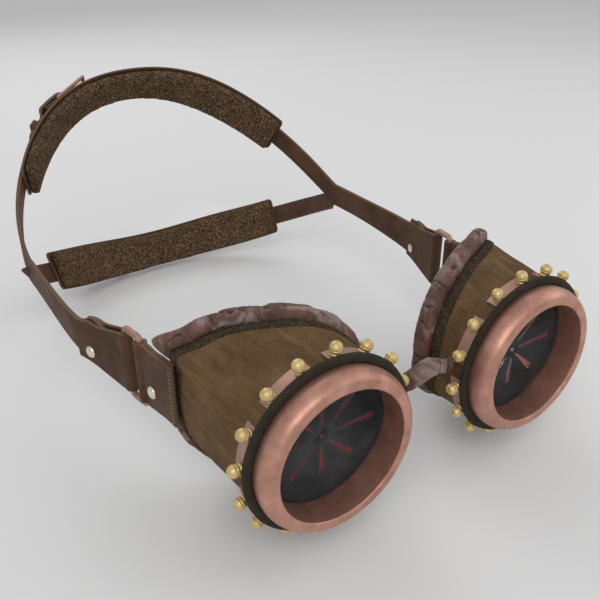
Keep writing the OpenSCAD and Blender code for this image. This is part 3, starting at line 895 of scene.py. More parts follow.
@dataclass(frozen=True)
class Pane(Finish):
    """Lens glass with a faint haze of fine scratches."""

    haze: float = 0.02
    transmission: float = 0.94
    alpha: float = 0.3
    ior: float = 1.2

    def paint(self, g: Graph, shader: Node) -> None:
        """Clear glass whose tone and roughness vary a little.

        Args:
            g: The material's graph.
            shader: Its Principled BSDF.
        """
        spots = g.group(mottle_group(), Where=g.where(), Patch_Scale=70.0, Grain_Scale=1500.0)
        tone = g.over(rgba(self.base), spots["Patches"], 0.5, self.dark)
        rough = g.plus(self.roughness, g.times(spots["Patches"], self.haze))
        g.feed(shader, Base_Color=tone, Roughness=rough)
        g.feed(shader, Transmission_Weight=self.transmission, Alpha=self.alpha, IOR=self.ior)


@dataclass(frozen=True)
class Film(Finish):
    """Deep red filter film, clouded and matt."""

    specular: float = 0.1

    def paint(self, g: Graph, shader: Node) -> None:
        """Mottled red.

        Args:
            g: The material's graph.
            shader: Its Principled BSDF.
        """
        spots = g.group(mottle_group(), Where=g.where(), Patch_Scale=160.0, Grain_Scale=2000.0)
        tone = g.tint(spots["Patches"], rgba(self.base), rgba(self.dark))
        g.feed(shader, Base_Color=tone, Roughness=self.roughness, Specular_IOR_Level=self.specular)


@dataclass(frozen=True)
class Blackened(Finish):
    """Blackened sheet metal, slightly cloudy, with painted shade on the slot walls."""

    wall: Rgb = (0.004, 0.003, 0.003)
    specular: float = 0.06

    def paint(self, g: Graph, shader: Node) -> None:
        """Cloudy grey over black, and painted shade on the slot walls, which the rim marks.

        Args:
            g: The material's graph.
            shader: Its Principled BSDF.
        """
        spots = g.group(mottle_group(), Where=g.where(), Patch_Scale=75.0, Grain_Scale=2200.0)
        tone = g.over(rgba(self.base), spots["Patches"], 0.7, self.light)
        # Painted shade: the slot walls, marked by the rim, go near black.
        tone = g.tint(g.attribute("rim"), tone, rgba(self.wall))
        rough = g.plus(self.roughness - 0.1, g.times(spots["Height"], 0.2))
        g.feed(shader, Base_Color=tone, Roughness=rough, Specular_IOR_Level=self.specular)


COPPER = Metal(
    "satin_copper", "copper", (0.62, 0.32, 0.24), (0.30, 0.13, 0.085), (0.84, 0.58, 0.49),
    roughness=0.37, tarnish=0.65, scuff=0.14, metallic=0.85, patch=130.0,
)
CLIP_COPPER = Metal(
    "dusty_copper", "clip_copper", (0.47, 0.28, 0.22), (0.26, 0.14, 0.10), (0.68, 0.48, 0.41),
    roughness=0.5, tarnish=0.5, scuff=0.1, metallic=0.85,
)
BRASS = Metal(
    "pale_brass", "pale_brass", (0.74, 0.56, 0.24), (0.36, 0.22, 0.07), (0.92, 0.80, 0.52),
    roughness=0.44, tarnish=0.35, scuff=0.1, metallic=0.85,
)
STUD = Metal(
    "worn_brass", "pale_brass", (0.84, 0.76, 0.55), (0.48, 0.38, 0.22), (0.95, 0.90, 0.78),
    roughness=0.30, tarnish=0.3,
)
PLATE = Blackened(
    "blackened_plate", "dark_metal", (0.034, 0.040, 0.043), (0.018, 0.021, 0.023), (0.075, 0.084, 0.088),
    roughness=0.7,
)
GLASS = Pane(
    "lens_glass", "lens_glass", (0.94, 0.96, 0.97), (0.84, 0.88, 0.90), (1.0, 1.0, 1.0), roughness=0.03
)
RED = Film(
    "red_film", "red_film", (0.22, 0.004, 0.008), (0.08, 0.002, 0.004), (0.5, 0.05, 0.05), roughness=0.7
)
SUEDE = Leather(
    name="cup_suede",
    slot="cup_suede",
    base=(0.172, 0.102, 0.047),
    dark=(0.074, 0.041, 0.018),
    light=(0.285, 0.192, 0.102),
    pebble=1500.0,
    patch=60.0,
    depth_mm=0.09,
    edge=0.4,
    streaks=True,
    specular=0.12,
    roughness=0.9,
)
STRAP = Leather(
    name="strap_leather",
    slot="strap_leather",
    base=(0.105, 0.048, 0.027),
    dark=(0.044, 0.020, 0.012),
    light=(0.235, 0.165, 0.105),
    pebble=1000.0,
    patch=55.0,
    depth_mm=0.08,
    edge=0.5,
    # Pale clouds here are partly wear and partly painted sheen.
    bloom=0.08,
    bloom_scale=60.0,
    specular=0.12,
    roughness=0.55,
)
ROLL = Leather(
    name="roll_leather",
    slot="roll_leather",
    base=(0.185, 0.078, 0.048),
    dark=(0.045, 0.023, 0.018),
    light=(0.360, 0.265, 0.250),
    pebble=800.0,
    patch=120.0,
    depth_mm=0.16,
    edge=0.3,
    # Pale clouds here are partly wear and partly painted sheen.
    bloom=0.75,
    bloom_scale=105.0,
    roughness=0.5,
)
RIM = Leather(
    name="rim_leather",
    slot="dark_felt",
    base=(0.030, 0.022, 0.013),
    dark=(0.014, 0.011, 0.008),
    light=(0.100, 0.080, 0.050),
    pebble=1500.0,
    patch=150.0,
    depth_mm=0.08,
    edge=0.0,
    roughness=0.8,
)
BAND_FELT = Felt(
    "band_felt", "dark_felt", (0.048, 0.035, 0.022), (0.018, 0.013, 0.009), (0.160, 0.118, 0.075),
    roughness=1.0, scale=1700.0,
)
PAD_FELT = Felt(
    "pad_felt", "pad_felt", (0.086, 0.054, 0.031), (0.017, 0.012, 0.009), (0.410, 0.250, 0.135),
    roughness=1.0, scale=1350.0, depth_mm=0.3, fibres=0.4, grit=0.9,
)
FIBRE = Felt(
    "band_fibre", "dark_felt", (0.115, 0.085, 0.053), (0.06, 0.044, 0.028), (0.24, 0.18, 0.115),
    roughness=1.0, scale=3000.0, depth_mm=0.03,
)
THREAD = Felt(
    "pale_thread", "pad_felt", (0.34, 0.29, 0.20), (0.20, 0.16, 0.11), (0.50, 0.44, 0.34),
    roughness=1.0, scale=3000.0, depth_mm=0.03,
)


def dress(obj: Obj, finish: Finish, body: str) -> Obj:
    """Gives a piece its finish, in its material slots, and its body.

    Args:
        obj: The piece.
        finish: Its finish.
        body: The body that it rides on.

    Returns:
        The piece.
    """
    material = finish.build()
    slots = obj.data.materials
    for i in range(len(slots)):
        slots[i] = material
    if not slots:
        slots.append(material)
    if "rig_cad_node" not in obj:
        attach(obj, body)
    LOG.info("%s: %d faces, %s on %s", obj.name, len(obj.data.polygons), finish.name, body)
    return obj


class Tree(Graph):
    """A Geometry Nodes tree that sets copies of a piece, ended by Realize Instances and Set Material."""

    def __init__(self, name: str, **inputs: str) -> None:
        """Starts a tree.

        Args:
            name: Name of the tree.
            **inputs: Socket type of each input besides the geometry, the piece and the material.
        """
        super().__init__(bpy.data.node_groups.new(name, "GeometryNodeTree"))
        geometry = {"Geometry": "NodeSocketGeometry", "Piece": "NodeSocketObject"}
        for label, kind in {**geometry, **inputs, "Material": "NodeSocketMaterial"}.items():
            self.tree.interface.new_socket(label, in_out="INPUT", socket_type=kind)
        self.tree.interface.new_socket("Geometry", in_out="OUTPUT", socket_type="NodeSocketGeometry")
        self.given = self.add("NodeGroupInput").outputs

    def sow(self, points: Socket, **how: object) -> NodeTree:
        """Closes the tree with the piece set on points.

        Args:
            points: The points.
            **how: Further inputs of the instances, such as their rotation.

        Returns:
            The tree.
        """
        piece = self.add("GeometryNodeObjectInfo", None, Object=self.given["Piece"]).outputs["Geometry"]
        sown = self.add("GeometryNodeInstanceOnPoints", None, Points=points, Instance=piece, **how)
        real = self.add("GeometryNodeRealizeInstances", None, _0=sown.outputs[0]).outputs[0]
        painted = self.add("GeometryNodeSetMaterial", None, Geometry=real, Material=self.given["Material"])
        self.add("NodeGroupOutput", None, Geometry=painted.outputs[0])
        return self.tree


def grown(name: str, tree: NodeTree, values: dict[str, object], base: Obj | None = None) -> Obj:
    """Runs a tree once and keeps its result as a plain mesh.

    Args:
        name: Name of the new piece.
        tree: The geometry tree.
        values: Input values by name; the piece that is copied is used up.
        base: Object whose mesh goes in, or none for an empty mesh.

    Returns:
        The new object.
    """
    host = linked(name + "_host", base.data.copy() if base else bpy.data.meshes.new(name))
    modifier = host.modifiers.new("grow", "NODES")
    modifier.node_group = tree
    names = {s.name: s.identifier for s in tree.interface.items_tree if s.in_out == "INPUT"}
    for key, value in values.items():
        modifier[names[key]] = value
    graph = bpy.context.evaluated_depsgraph_get()
    made = bpy.data.meshes.new_from_object(host.evaluated_get(graph), depsgraph=graph)
    bpy.data.objects.remove(host)
    bpy.data.objects.remove(values["Piece"])
    made.shade_smooth()
    made.name = name
    return linked(name, made)


def rivet_tree() -> NodeTree:
    """Tree that sets pairs of rivets round a lens axis."""
    sizes = {"Turn": FLOAT, "Sense": FLOAT, "Pitch": FLOAT, "Radius": FLOAT, "Centre": VECTOR}
    t = Tree("rivet_ring", Count=INT, **sizes, Seed=INT)
    points = t.add("GeometryNodePoints", None, Count=t.given["Count"])
    index = t.add("GeometryNodeInputIndex").outputs[0]
    clip = t.math("FLOOR", t.math("DIVIDE", index, 2.0))
    odd = t.math("SUBTRACT", t.math("MODULO", index, 2.0), 0.5)
    step = t.math("DIVIDE", 2 * math.tau, t.given["Count"])
    swing = t.plus(t.times(clip, step), t.times(odd, t.given["Pitch"]))
    angle = t.plus(t.given["Turn"], t.times(swing, t.given["Sense"]))
    x = t.times(t.given["Radius"], t.math("COSINE", angle))
    z = t.times(t.given["Radius"], t.math("SINE", angle))
    flat = t.add("ShaderNodeCombineXYZ", None, X=x, Z=z).outputs[0]
    spot = t.add("ShaderNodeVectorMath", {"operation": "ADD"}, _0=flat, _1=t.given["Centre"]).outputs[0]
    placed = t.add("GeometryNodeSetPosition", None, Geometry=points.outputs[0], Position=spot)
    chance = t.add("FunctionNodeRandomValue", {"data_type": "FLOAT"}, ID=index, Seed=t.given["Seed"])
    roll = t.times(chance.outputs[1], math.tau)
    aim = t.add("ShaderNodeCombineXYZ", None, X=roll, Y=t.times(angle, -1.0)).outputs[0]
    return t.sow(placed.outputs[0], Rotation=aim)


def fibre_tree() -> NodeTree:
    """Tree that strews short threads flat on a surface."""
    t = Tree("strewn_threads", Density=FLOAT, Seed=INT)
    spread = t.add(
        "GeometryNodeDistributePointsOnFaces",
        None,
        Mesh=t.given["Geometry"],
        Density=t.given["Density"],
        Seed=t.given["Seed"],
    ).outputs
    chance = t.add("FunctionNodeRandomValue", {"data_type": "FLOAT"}, Seed=t.given["Seed"]).outputs[1]
    spin = t.times(t.math("SUBTRACT", chance, 0.5), 1.5)
    aim = t.add("ShaderNodeCombineXYZ", None, Z=spin).outputs[0]
    own = {"rotation_space": "LOCAL"}
    turned = t.add("FunctionNodeRotateRotation", own, Rotation=spread["Rotation"], Rotate_By=aim).outputs[0]
    scale = t.plus(0.6, t.times(chance, 0.7))
    return t.sow(spread["Points"], Rotation=turned, Scale=scale)


def stitch_tree() -> NodeTree:
    """Tree that lays stitches in a straight row."""
    t = Tree("stitch_row", Count=INT, Start=VECTOR, Step=VECTOR, Aim=VECTOR)
    row = {"Start_Location": t.given["Start"], "Offset": t.given["Step"]}
    line = t.add("GeometryNodeMeshLine", {"mode": "OFFSET"}, Count=t.given["Count"], **row)
    return t.sow(line.outputs[0], Rotation=t.given["Aim"])


# Half of the nose bridge in millimetres: distance from the middle, depth, lower edge, upper edge.
BRIDGE_HALVES = {
    Side.RIGHT: [
        (0.25, -3, 9.5, 15), (2, -2.9, 8.7, 15.7), (4, -1.8, 7, 16.2), (6, -0.3, 4.6, 14.1),
        (8, 1.5, 2.6, 11.3), (10, 3.1, 1.4, 9), (11.4, 3.8, 1, 8), (14.2, 4.3, 0.8, 7),
    ],
    Side.LEFT: [
        (0.25, -3, 9.2, 14.5), (2, -2.9, 8.4, 13.6), (4, -1.8, 7.1, 12.3), (6, -0.3, 5.3, 10.7),
        (8, 1.5, 3.6, 9), (10, 3.1, 2.2, 7.6), (11.4, 3.8, 1.5, 7), (14.2, 4.3, 1, 6.5),
    ],
}

# Section of the gasket in millimetres: radius, and station in front of the lens.
GASKET_SECTION = [
    (28.15, 3.4), (29.2, 3.45), (30.25, 3.4), (30.6, 3.2), (30.65, 2.9), (30.65, 1.95),
    (29.95, 1.95), (29.95, 2.5), (28.6, 2.5), (28.6, 0.8), (28.15, 0.8),
]
# Section of the seam band in millimetres: distance outside the face edge, and distance behind it.
BAND_SECTION = [
    (-1.5, 0.1), (0.1, 0.1), (0.45, 0.5), (0.7, 1.4), (0.75, 2.5), (0.65, 3.6), (0.45, 4.2), (-1.5, 4.3)
]


@dataclass
class EyeCup:
    """One cup with its bezel, rivets, felt band and face roll."""

    layout: Layout
    side: Side
    bezel_r: float = 27.95
    bore_r: float = 22.8
    lip_front: float = 10.6
    lip_round: float = 2.9
    groove_in: float = 25.22
    groove_out: float = 26.45
    groove_top: float = 7.2
    skirt_low: float = 1.6
    bore_low: float = 0.3
    ball_d: float = 4.2
    rivet_count: int = 16
    rivet_pitch: float = 21.3
    clip_turn: float = 17.0
    shell_front: float = -0.8
    shell_ripple: float = 0.35
    band_tuck: float = 20.0
    roll_out: float = 3.6
    roll_low: float = 2.2
    roll_corner: float = 1.3
    roll_corner_turn: float = 39.0
    roll_corner_width: float = 9.0
    roll_tuck: float = 4.4
    roll_flat: float = 24.0
    roll_flat_top: float = 31.0
    roll_power: float = 0.8
    roll_swell: float = 0.6
    slot_spread: float = 0.07
    slot_end: float = 19.6
    slot_fade: float = 2.2
    bridge_half_t: float = 0.85

    @property
    def body(self) -> str:
        """The cup's body."""
        return f"{self.side.word}_cup"

    @property
    def axis(self) -> Vector:
        """Point of the lens axis at depth 0, in the row frame."""
        return Vector(self.layout.row([[self.side.value * self.layout.lens_x, 0, 0]])[0])

    def name(self, word: str) -> str:
        """A piece name with the side in front."""
        return f"{self.side.word}_{word}"

    def build(self) -> None:
        """Builds and dresses every piece of the cup."""
        self.make_bezel()
        self.make_shell()
        self.make_band()
        self.make_roll()
        self.make_rivets()
        self.make_gasket()
        self.make_bridge()
        for node, finish in (("lens_tube", COPPER), ("lens", GLASS), ("red_filter", RED)):
            dress(bpy.data.objects[self.name(node)], finish, self.body)
        clips = softened(self.name("clips"), self.name("copper_clips"), 0.22)
        dress(clips, CLIP_COPPER, self.body)
        self.make_plate()

    def make_plate(self) -> None:
        """Slotted plate with painted shade on its slot walls, and slots that run out a little further."""
        plate = softened(self.name("slot_plate"), self.name("rayed_plate"), 0.01, 1)
        axis, walls = self.axis, []
        for v in plate.data.vertices:
            # The rim marks the slot walls, for their painted shade.
            walls.append(smooth((0.75 - abs(v.normal.y)) / 0.3))
            r = math.hypot(v.co.x - axis.x, v.co.z - axis.z) / MM
            k = 1 + self.slot_spread * (1 - smooth((r - self.slot_end) / self.slot_fade))
            v.co.x, v.co.z = axis.x + (v.co.x - axis.x) * k, axis.z + (v.co.z - axis.z) * k
        point_value(plate, "rim", walls)
        dress(plate, PLATE, self.body)

    def make_bezel(self) -> None:
        """Fat rounded screw bezel, with a groove that the lens tube runs in."""
        crest, middle = self.bezel_r - self.lip_round, self.lip_front / 2
        start = -math.asin((middle - self.skirt_low) / (self.lip_front - middle))
        profile = [(self.groove_out, self.skirt_low)]
        for t in (mix(start, math.pi / 2, i / 28) for i in range(29)):
            r = crest + (self.bezel_r - crest) * math.cos(t)
            profile.append((r, middle + (self.lip_front - middle) * math.sin(t)))
        for t in np.linspace(math.pi / 2, math.pi, 7):
            profile.append((self.bore_r + 0.9 + 0.9 * math.cos(t), self.lip_front - 0.6 + 0.6 * math.sin(t)))
        profile += [(self.bore_r, 5.0), (self.bore_r, self.bore_low), (self.groove_in, self.bore_low)]
        profile += [(self.groove_in, self.groove_top), (self.groove_out, self.groove_top)]
        piece = spun(self.name("screw_bezel"), profile, self.layout, self.side, 192)
        crisp(piece, 40)
        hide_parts(self.name("bezel"))
        dress(piece, COPPER, f"{self.side.word}_bezel_body")

    def make_gasket(self) -> None:
        """Thin dark ring between the bezel and the clips."""
        piece = spun(self.name("edge_gasket"), GASKET_SECTION, self.layout, self.side)
        crisp(piece, 50)
        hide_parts(self.name("gasket"))
        dress(piece, RIM, self.body)

    def make_shell(self) -> None:
        """Suede cup, flaring from the clips to the face."""
        lay, turns, steps = self.layout, circle(200), 26

        def flat(r: float, depth: float) -> list[Array]:
            """Round ring about the lens axis, in millimetres."""
            return [np.array([lay.lens_x + r * math.cos(a), depth, r * math.sin(a)]) for a in turns]

        def ring(r: float, t: float, inset: float, ripple: float) -> Array:
            """Ring at a share t of the way from the clips to the face edge.

            Args:
                r: Radius at the clips.
                t: The share.
                inset: Distance inside the face edge.
                ripple: Height of the waves.

            Returns:
                Points of the ring in the row frame.
            """
            points = []
            for a, start in zip(turns, flat(r, lay.straight)):
                p = start + (lay.edge_point(a, -inset, 0) - start) * t
                wave = ripple * math.sin(math.pi * t) * wander(p, 14)
                points.append(p + np.array([math.cos(a), 0, math.sin(a)]) * wave)
            return lay.row(points)

        rings = [lay.row(flat(lay.shell_r, self.shell_front))]
        rings += [ring(lay.shell_r, i / steps, 0, self.shell_ripple) for i in range(steps + 1)]
        rings += [ring(lay.shell_bore, i / steps, lay.cup_wall, 0.0) for i in range(steps, -1, -2)]
        rings += [lay.row(flat(lay.shell_bore, self.shell_front))]
        piece = loft(self.name("leather_cup"), rings, self.side, wrap=True)
        crisp(piece, 50)
        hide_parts(self.name("cup_shell"))
        dress(piece, SUEDE, self.body)

    def make_band(self) -> None:
        """Felt band sewn between the cup and the roll, with loose threads."""
        lay, rings = self.layout, []
        for out, back in BAND_SECTION:
            ring = []
            for a in circle(220):
                proud = out * (1 - bell(signed(a), 0, self.band_tuck)) if out > 0 else out
                fuzz = 0.08 * wander(lay.edge_point(a, proud, back), 1.6, 2) if out > 0 else 0.0
                ring.append(lay.edge_point(a, proud + fuzz, back))
            rings.append(lay.row(ring))
        piece = loft(self.name("felt_band"), rings, self.side, wrap=True)
        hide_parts(self.name("seam_band"))
        values = {"Piece": thread_piece(1.5, 0.16), "Density": 3.2e5, "Seed": 7 + self.side.value}
        values["Material"] = FIBRE.build()
        fibres = grown(self.name("band_threads"), fibre_tree(), values, piece)
        dress(piece, BAND_FELT, self.body)
        dress(fibres, FIBRE, self.body)

    def reach(self, k: float) -> float:
        """How far the roll stands outside the edge at a signed turn in degrees.

        Args:
            k: The turn.

        Returns:
            The distance in millimetres.
        """
        proud = mix(self.roll_low, self.roll_out, smooth(0.5 + math.sin(math.radians(k))))
        corner = self.roll_corner * bell(k, self.roll_corner_turn, self.roll_corner_width)
        flat = (k / self.roll_flat_top) ** 8 if k > 0 else (k / self.roll_flat) ** 4
        return proud + corner - self.roll_tuck * math.exp(-flat)

    def crumple(self, p: Array, facing: float) -> tuple[float, float]:
        """Lumps and folds of the roll at a point.

        Args:
            p: The point in millimetres.
            facing: 1 at the roll's outer side, 0 on its inner side.

        Returns:
            The outward move in millimetres, and the crease mask, along which the roll's colour gets painted
            shade.
        """
        lumps = 0.5 * wander(p, 8, 3) * (0.4 + facing)
        fold = bell(wander((p[0], p[1] * 0.35, p[2]), 6.0, 3), 0.0, 0.07)
        fine = bell(wander((p[2], p[0] * 1.2, p[1] * 0.5), 3.5, 3), 0.0, 0.09)
        depth = (0.8 * fold + 0.3 * fine) * (0.2 + 0.8 * facing)
        return min(lumps - depth + 0.2, self.roll_swell), min(0.75 * fold + 0.3 * fine, 1.0)

    def make_roll(self) -> None:
        """Padded leather roll, crumpled by the stitching that draws it in."""
        lay, depth, tucked = self.layout, self.layout.roll_depth / 2, 3
        middle_back = lay.band_w + lay.seam + depth
        rings, painted_crease_shade = [], []
        for b in circle(56):
            cb, sb = math.cos(b), -math.sin(b)
            ring = []
            for a in circle(480):
                reach = self.reach(signed(a))
                half, middle = (reach + tucked) / 2, (reach - tucked) / 2
                out = middle + half * squared(cb, self.roll_power)
                back = middle_back - depth * squared(sb, self.roll_power)
                push, crease = self.crumple(lay.edge_point(a, out, back), max(cb, 0))
                # The crease mask paints shade into the roll's colour.
                painted_crease_shade.append(crease)
                ring.append(lay.edge_point(a, out + push * cb, back - push * sb * 0.35))
            rings.append(lay.row(ring))
        piece = loft(self.name("padded_roll"), rings, self.side, wrap=True)
        point_value(piece, "crease", painted_crease_shade)
        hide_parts(self.name("face_roll"))
        dress(piece, ROLL, self.body)

    def make_rivets(self) -> None:
        """Pairs of ball rivets, each with a fine groove, turned at random."""
        turn = math.radians(90 + self.clip_turn)
        values = {
            "Piece": ball_rivet(self.ball_d),
            "Count": self.rivet_count,
            "Turn": turn if self.side is Side.LEFT else math.pi - turn,
            "Sense": float(self.side.value),
            "Pitch": math.radians(self.rivet_pitch),
            "Radius": (self.layout.clip_r + 0.05) * MM,
            "Centre": tuple(self.axis),
            "Seed": 11,
            "Material": BRASS.build(),
        }
        piece = grown(self.name("ball_rivets"), rivet_tree(), values)
        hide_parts(self.name("clip_rivets"))
        dress(piece, BRASS, self.body)

    def make_bridge(self) -> None:
        """Creased leather ribbon from the middle crease to the cup."""
        stations = np.array(BRIDGE_HALVES[self.side], float)
        x = np.linspace(stations[0, 0], stations[-1, 0], 40)
        y, low, high = (np.interp(x, stations[:, 0], stations[:, c]) for c in (1, 2, 3))
        kernel = np.ones(5) / 5
        y, low, high = (np.convolve(np.pad(v, 2, mode="edge"), kernel, mode="valid") for v in (y, low, high))
        rings, turns = [], circle(28)
        for xi, yi, lo, hi in zip(x, y, low, high):
            ring = []
            mid, half = (lo + hi) / 2, (hi - lo) / 2
            for t in turns:
                dy, dz = squared(math.cos(t), 0.6) * self.bridge_half_t, squared(math.sin(t), 0.6) * half
                wrinkle = 0.3 * wander((xi, yi + dy, mid + dz * 0.6), 2.6, 3)
                ring.append([xi, yi + dy + wrinkle * (1 if dy < 0 else 0.2), mid + dz])
            rings.append(self.layout.row(ring))
        rim = [abs(math.sin(t)) ** 6 for t in turns]
        piece = loft(self.name("leather_bridge"), rings, self.side, rim=rim)
        crisp(piece, 60)
        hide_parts(self.name("bridge"))
        dress(piece, ROLL, self.body)


def ball_rivet(diameter: float) -> Obj:
    """One ball rivet along +X, on a collar, with a groove turned below its widest line.

    Args:
        diameter: Diameter of the ball in millimetres.

    Returns:
        The object.
    """
    r, collar, groove = diameter / 2, 0.5, 0.34
    middle = r + collar - 0.35
    profile = [(1.8, 0.01), (1.85, 0.25), (1.75, collar)]
    for t in [*range(-48, 13, 3), *range(18, 84, 6), 89.9]:
        radius = r - groove * bell(t, -12.0, 5.0)
        profile.append((radius * math.cos(math.radians(t)), middle + radius * math.sin(math.radians(t))))
    turns = np.linspace(0, math.tau, 36, endpoint=False)
    rings = [np.array([[h, r * math.cos(a), r * math.sin(a)] for a in turns]) * MM for r, h in profile]
    return loft("rivet_base", rings)


def thread_piece(length: float, width: float) -> Obj:
    """A short thread lying along X, to be instanced.

    Args:
        length: Length in millimetres.
        width: Width in millimetres.

    Returns:
        The object.
    """
    rings = []
    for t, k in ((-1, 0.25), (-0.6, 0.9), (0, 1.0), (0.6, 0.9), (1, 0.25)):
        lift, r = 0.35 * width * (1 - t * t), width / 2 * k
        section = ((1, 0), (0, 1), (-1, 0), (0, -0.6))
        rings.append(np.array([[t * length / 2, r * y, lift + r * z] for y, z in section]) * MM)
    return loft("thread_base", rings)


@dataclass
class SideHardware:
    """Cup tab, wire link and strap tab of one side."""

    layout: Layout
    side: Side
    front_bar: tuple[float, float] = (73.9, 66.3)
    cup_tab_turn: float = 2.6
    cup_tab_l: float = 24.5
    cup_tab_rise: float = 2.8
    strap_tab_turn: float = 15.8
    stitch_count: int = 15
    stitch_pitch: float = 1.45
    stitch_inset: float = 0.85
    stitch_out: float = 1.3

    def build(self) -> None:
        """Builds and dresses the tabs, link and rivets."""
        word, sign = self.side.word, self.side.value
        turn = math.radians(self.cup_tab_turn)
        cup_end = Vector((sign * math.sin(turn), -math.cos(turn), 0))
        turn = math.radians(self.strap_tab_turn)
        strap_end = Vector((sign * math.sin(turn), math.cos(turn), 0))
        tabs = (("cup_tab", cup_end, f"{word}_cup"), ("strap_tab", strap_end, "headband"))
        for tab, end, body in tabs:
            dress(softened(f"{word}_{tab}", f"{word}_sewn_{tab}", 0.32, 3, end), STRAP, body)
        dress(softened(f"{word}_link", f"{word}_wire_link", 0.01, 1), CLIP_COPPER, f"{word}_link_body")
        for tab, _, body in tabs:
            dress(softened(f"{word}_{tab}_rivet", f"{word}_{tab}_stud", 0.08), STUD, body)
        self.make_stitches()

    def make_stitches(self) -> None:
        """Row of stitches near the cup tab's front edge."""
        sign, turn = self.side.value, math.radians(self.cup_tab_turn)
        bar = np.array([sign * self.front_bar[0], self.front_bar[1], 0])
        forward = np.array([-sign * math.sin(turn), -math.cos(turn), 0])
        out = np.array([sign * math.cos(turn), -math.sin(turn), 0])
        spot = bar + forward * (self.cup_tab_l - self.stitch_inset) + out * self.stitch_out
        count, pitch = self.stitch_count, self.stitch_pitch
        start = self.layout.row([spot + [0, 0, self.cup_tab_rise - (count - 1) / 2 * pitch]])[0]
        aim = Matrix((Vector(forward), Vector(np.cross(out, forward)), Vector(out))).transposed().to_euler()
        values = {"Piece": thread_piece(1.5, 0.4), "Count": count, "Start": tuple(start)}
        values |= {"Step": (0, 0, pitch * MM), "Aim": tuple(aim), "Material": THREAD.build()}
        piece = grown(f"{self.side.word}_tab_stitches", stitch_tree(), values)
        dress(piece, THREAD, f"{self.side.word}_cup")


@dataclass
class Pad:
    """Outline of a felt pad and its backing, on a branch of the headband."""

    branch: Branch
    width: float
    end: float
    rise: float = 0.0
    corner: float = 1.8

    def edges(self, a: float, inset: float = 0.0) -> tuple[float, float]:
        """Width and upward shift at a turn, with rounded corners and slightly wavy edges.

        Args:
            a: The turn in degrees.
            inset: Turn by which both ends are drawn in, in degrees.

        Returns:
            The width and the shift.
        """
        end = self.end + inset
        t = (a - end) / (180 - 2 * end)
        near = min(a - end, 180 - end - a) * self.branch.turn_length(a)
        cut = self.corner * (1 - math.sqrt(max(1 - max(1 - near / self.corner, 0) ** 2, 0)))
        raised = self.rise * (0.45 + 0.55 * math.sin(math.pi * min(max(t, 0), 1) ** 1.3) ** 2)
        top = self.width / 2 - cut - 0.35 * (1 + math.sin(13 * t + 1))
        bottom = -self.width / 2 + cut + raised + 0.3 * (1 + math.sin(10 * t + 3))
        return top - bottom, (top + bottom) / 2


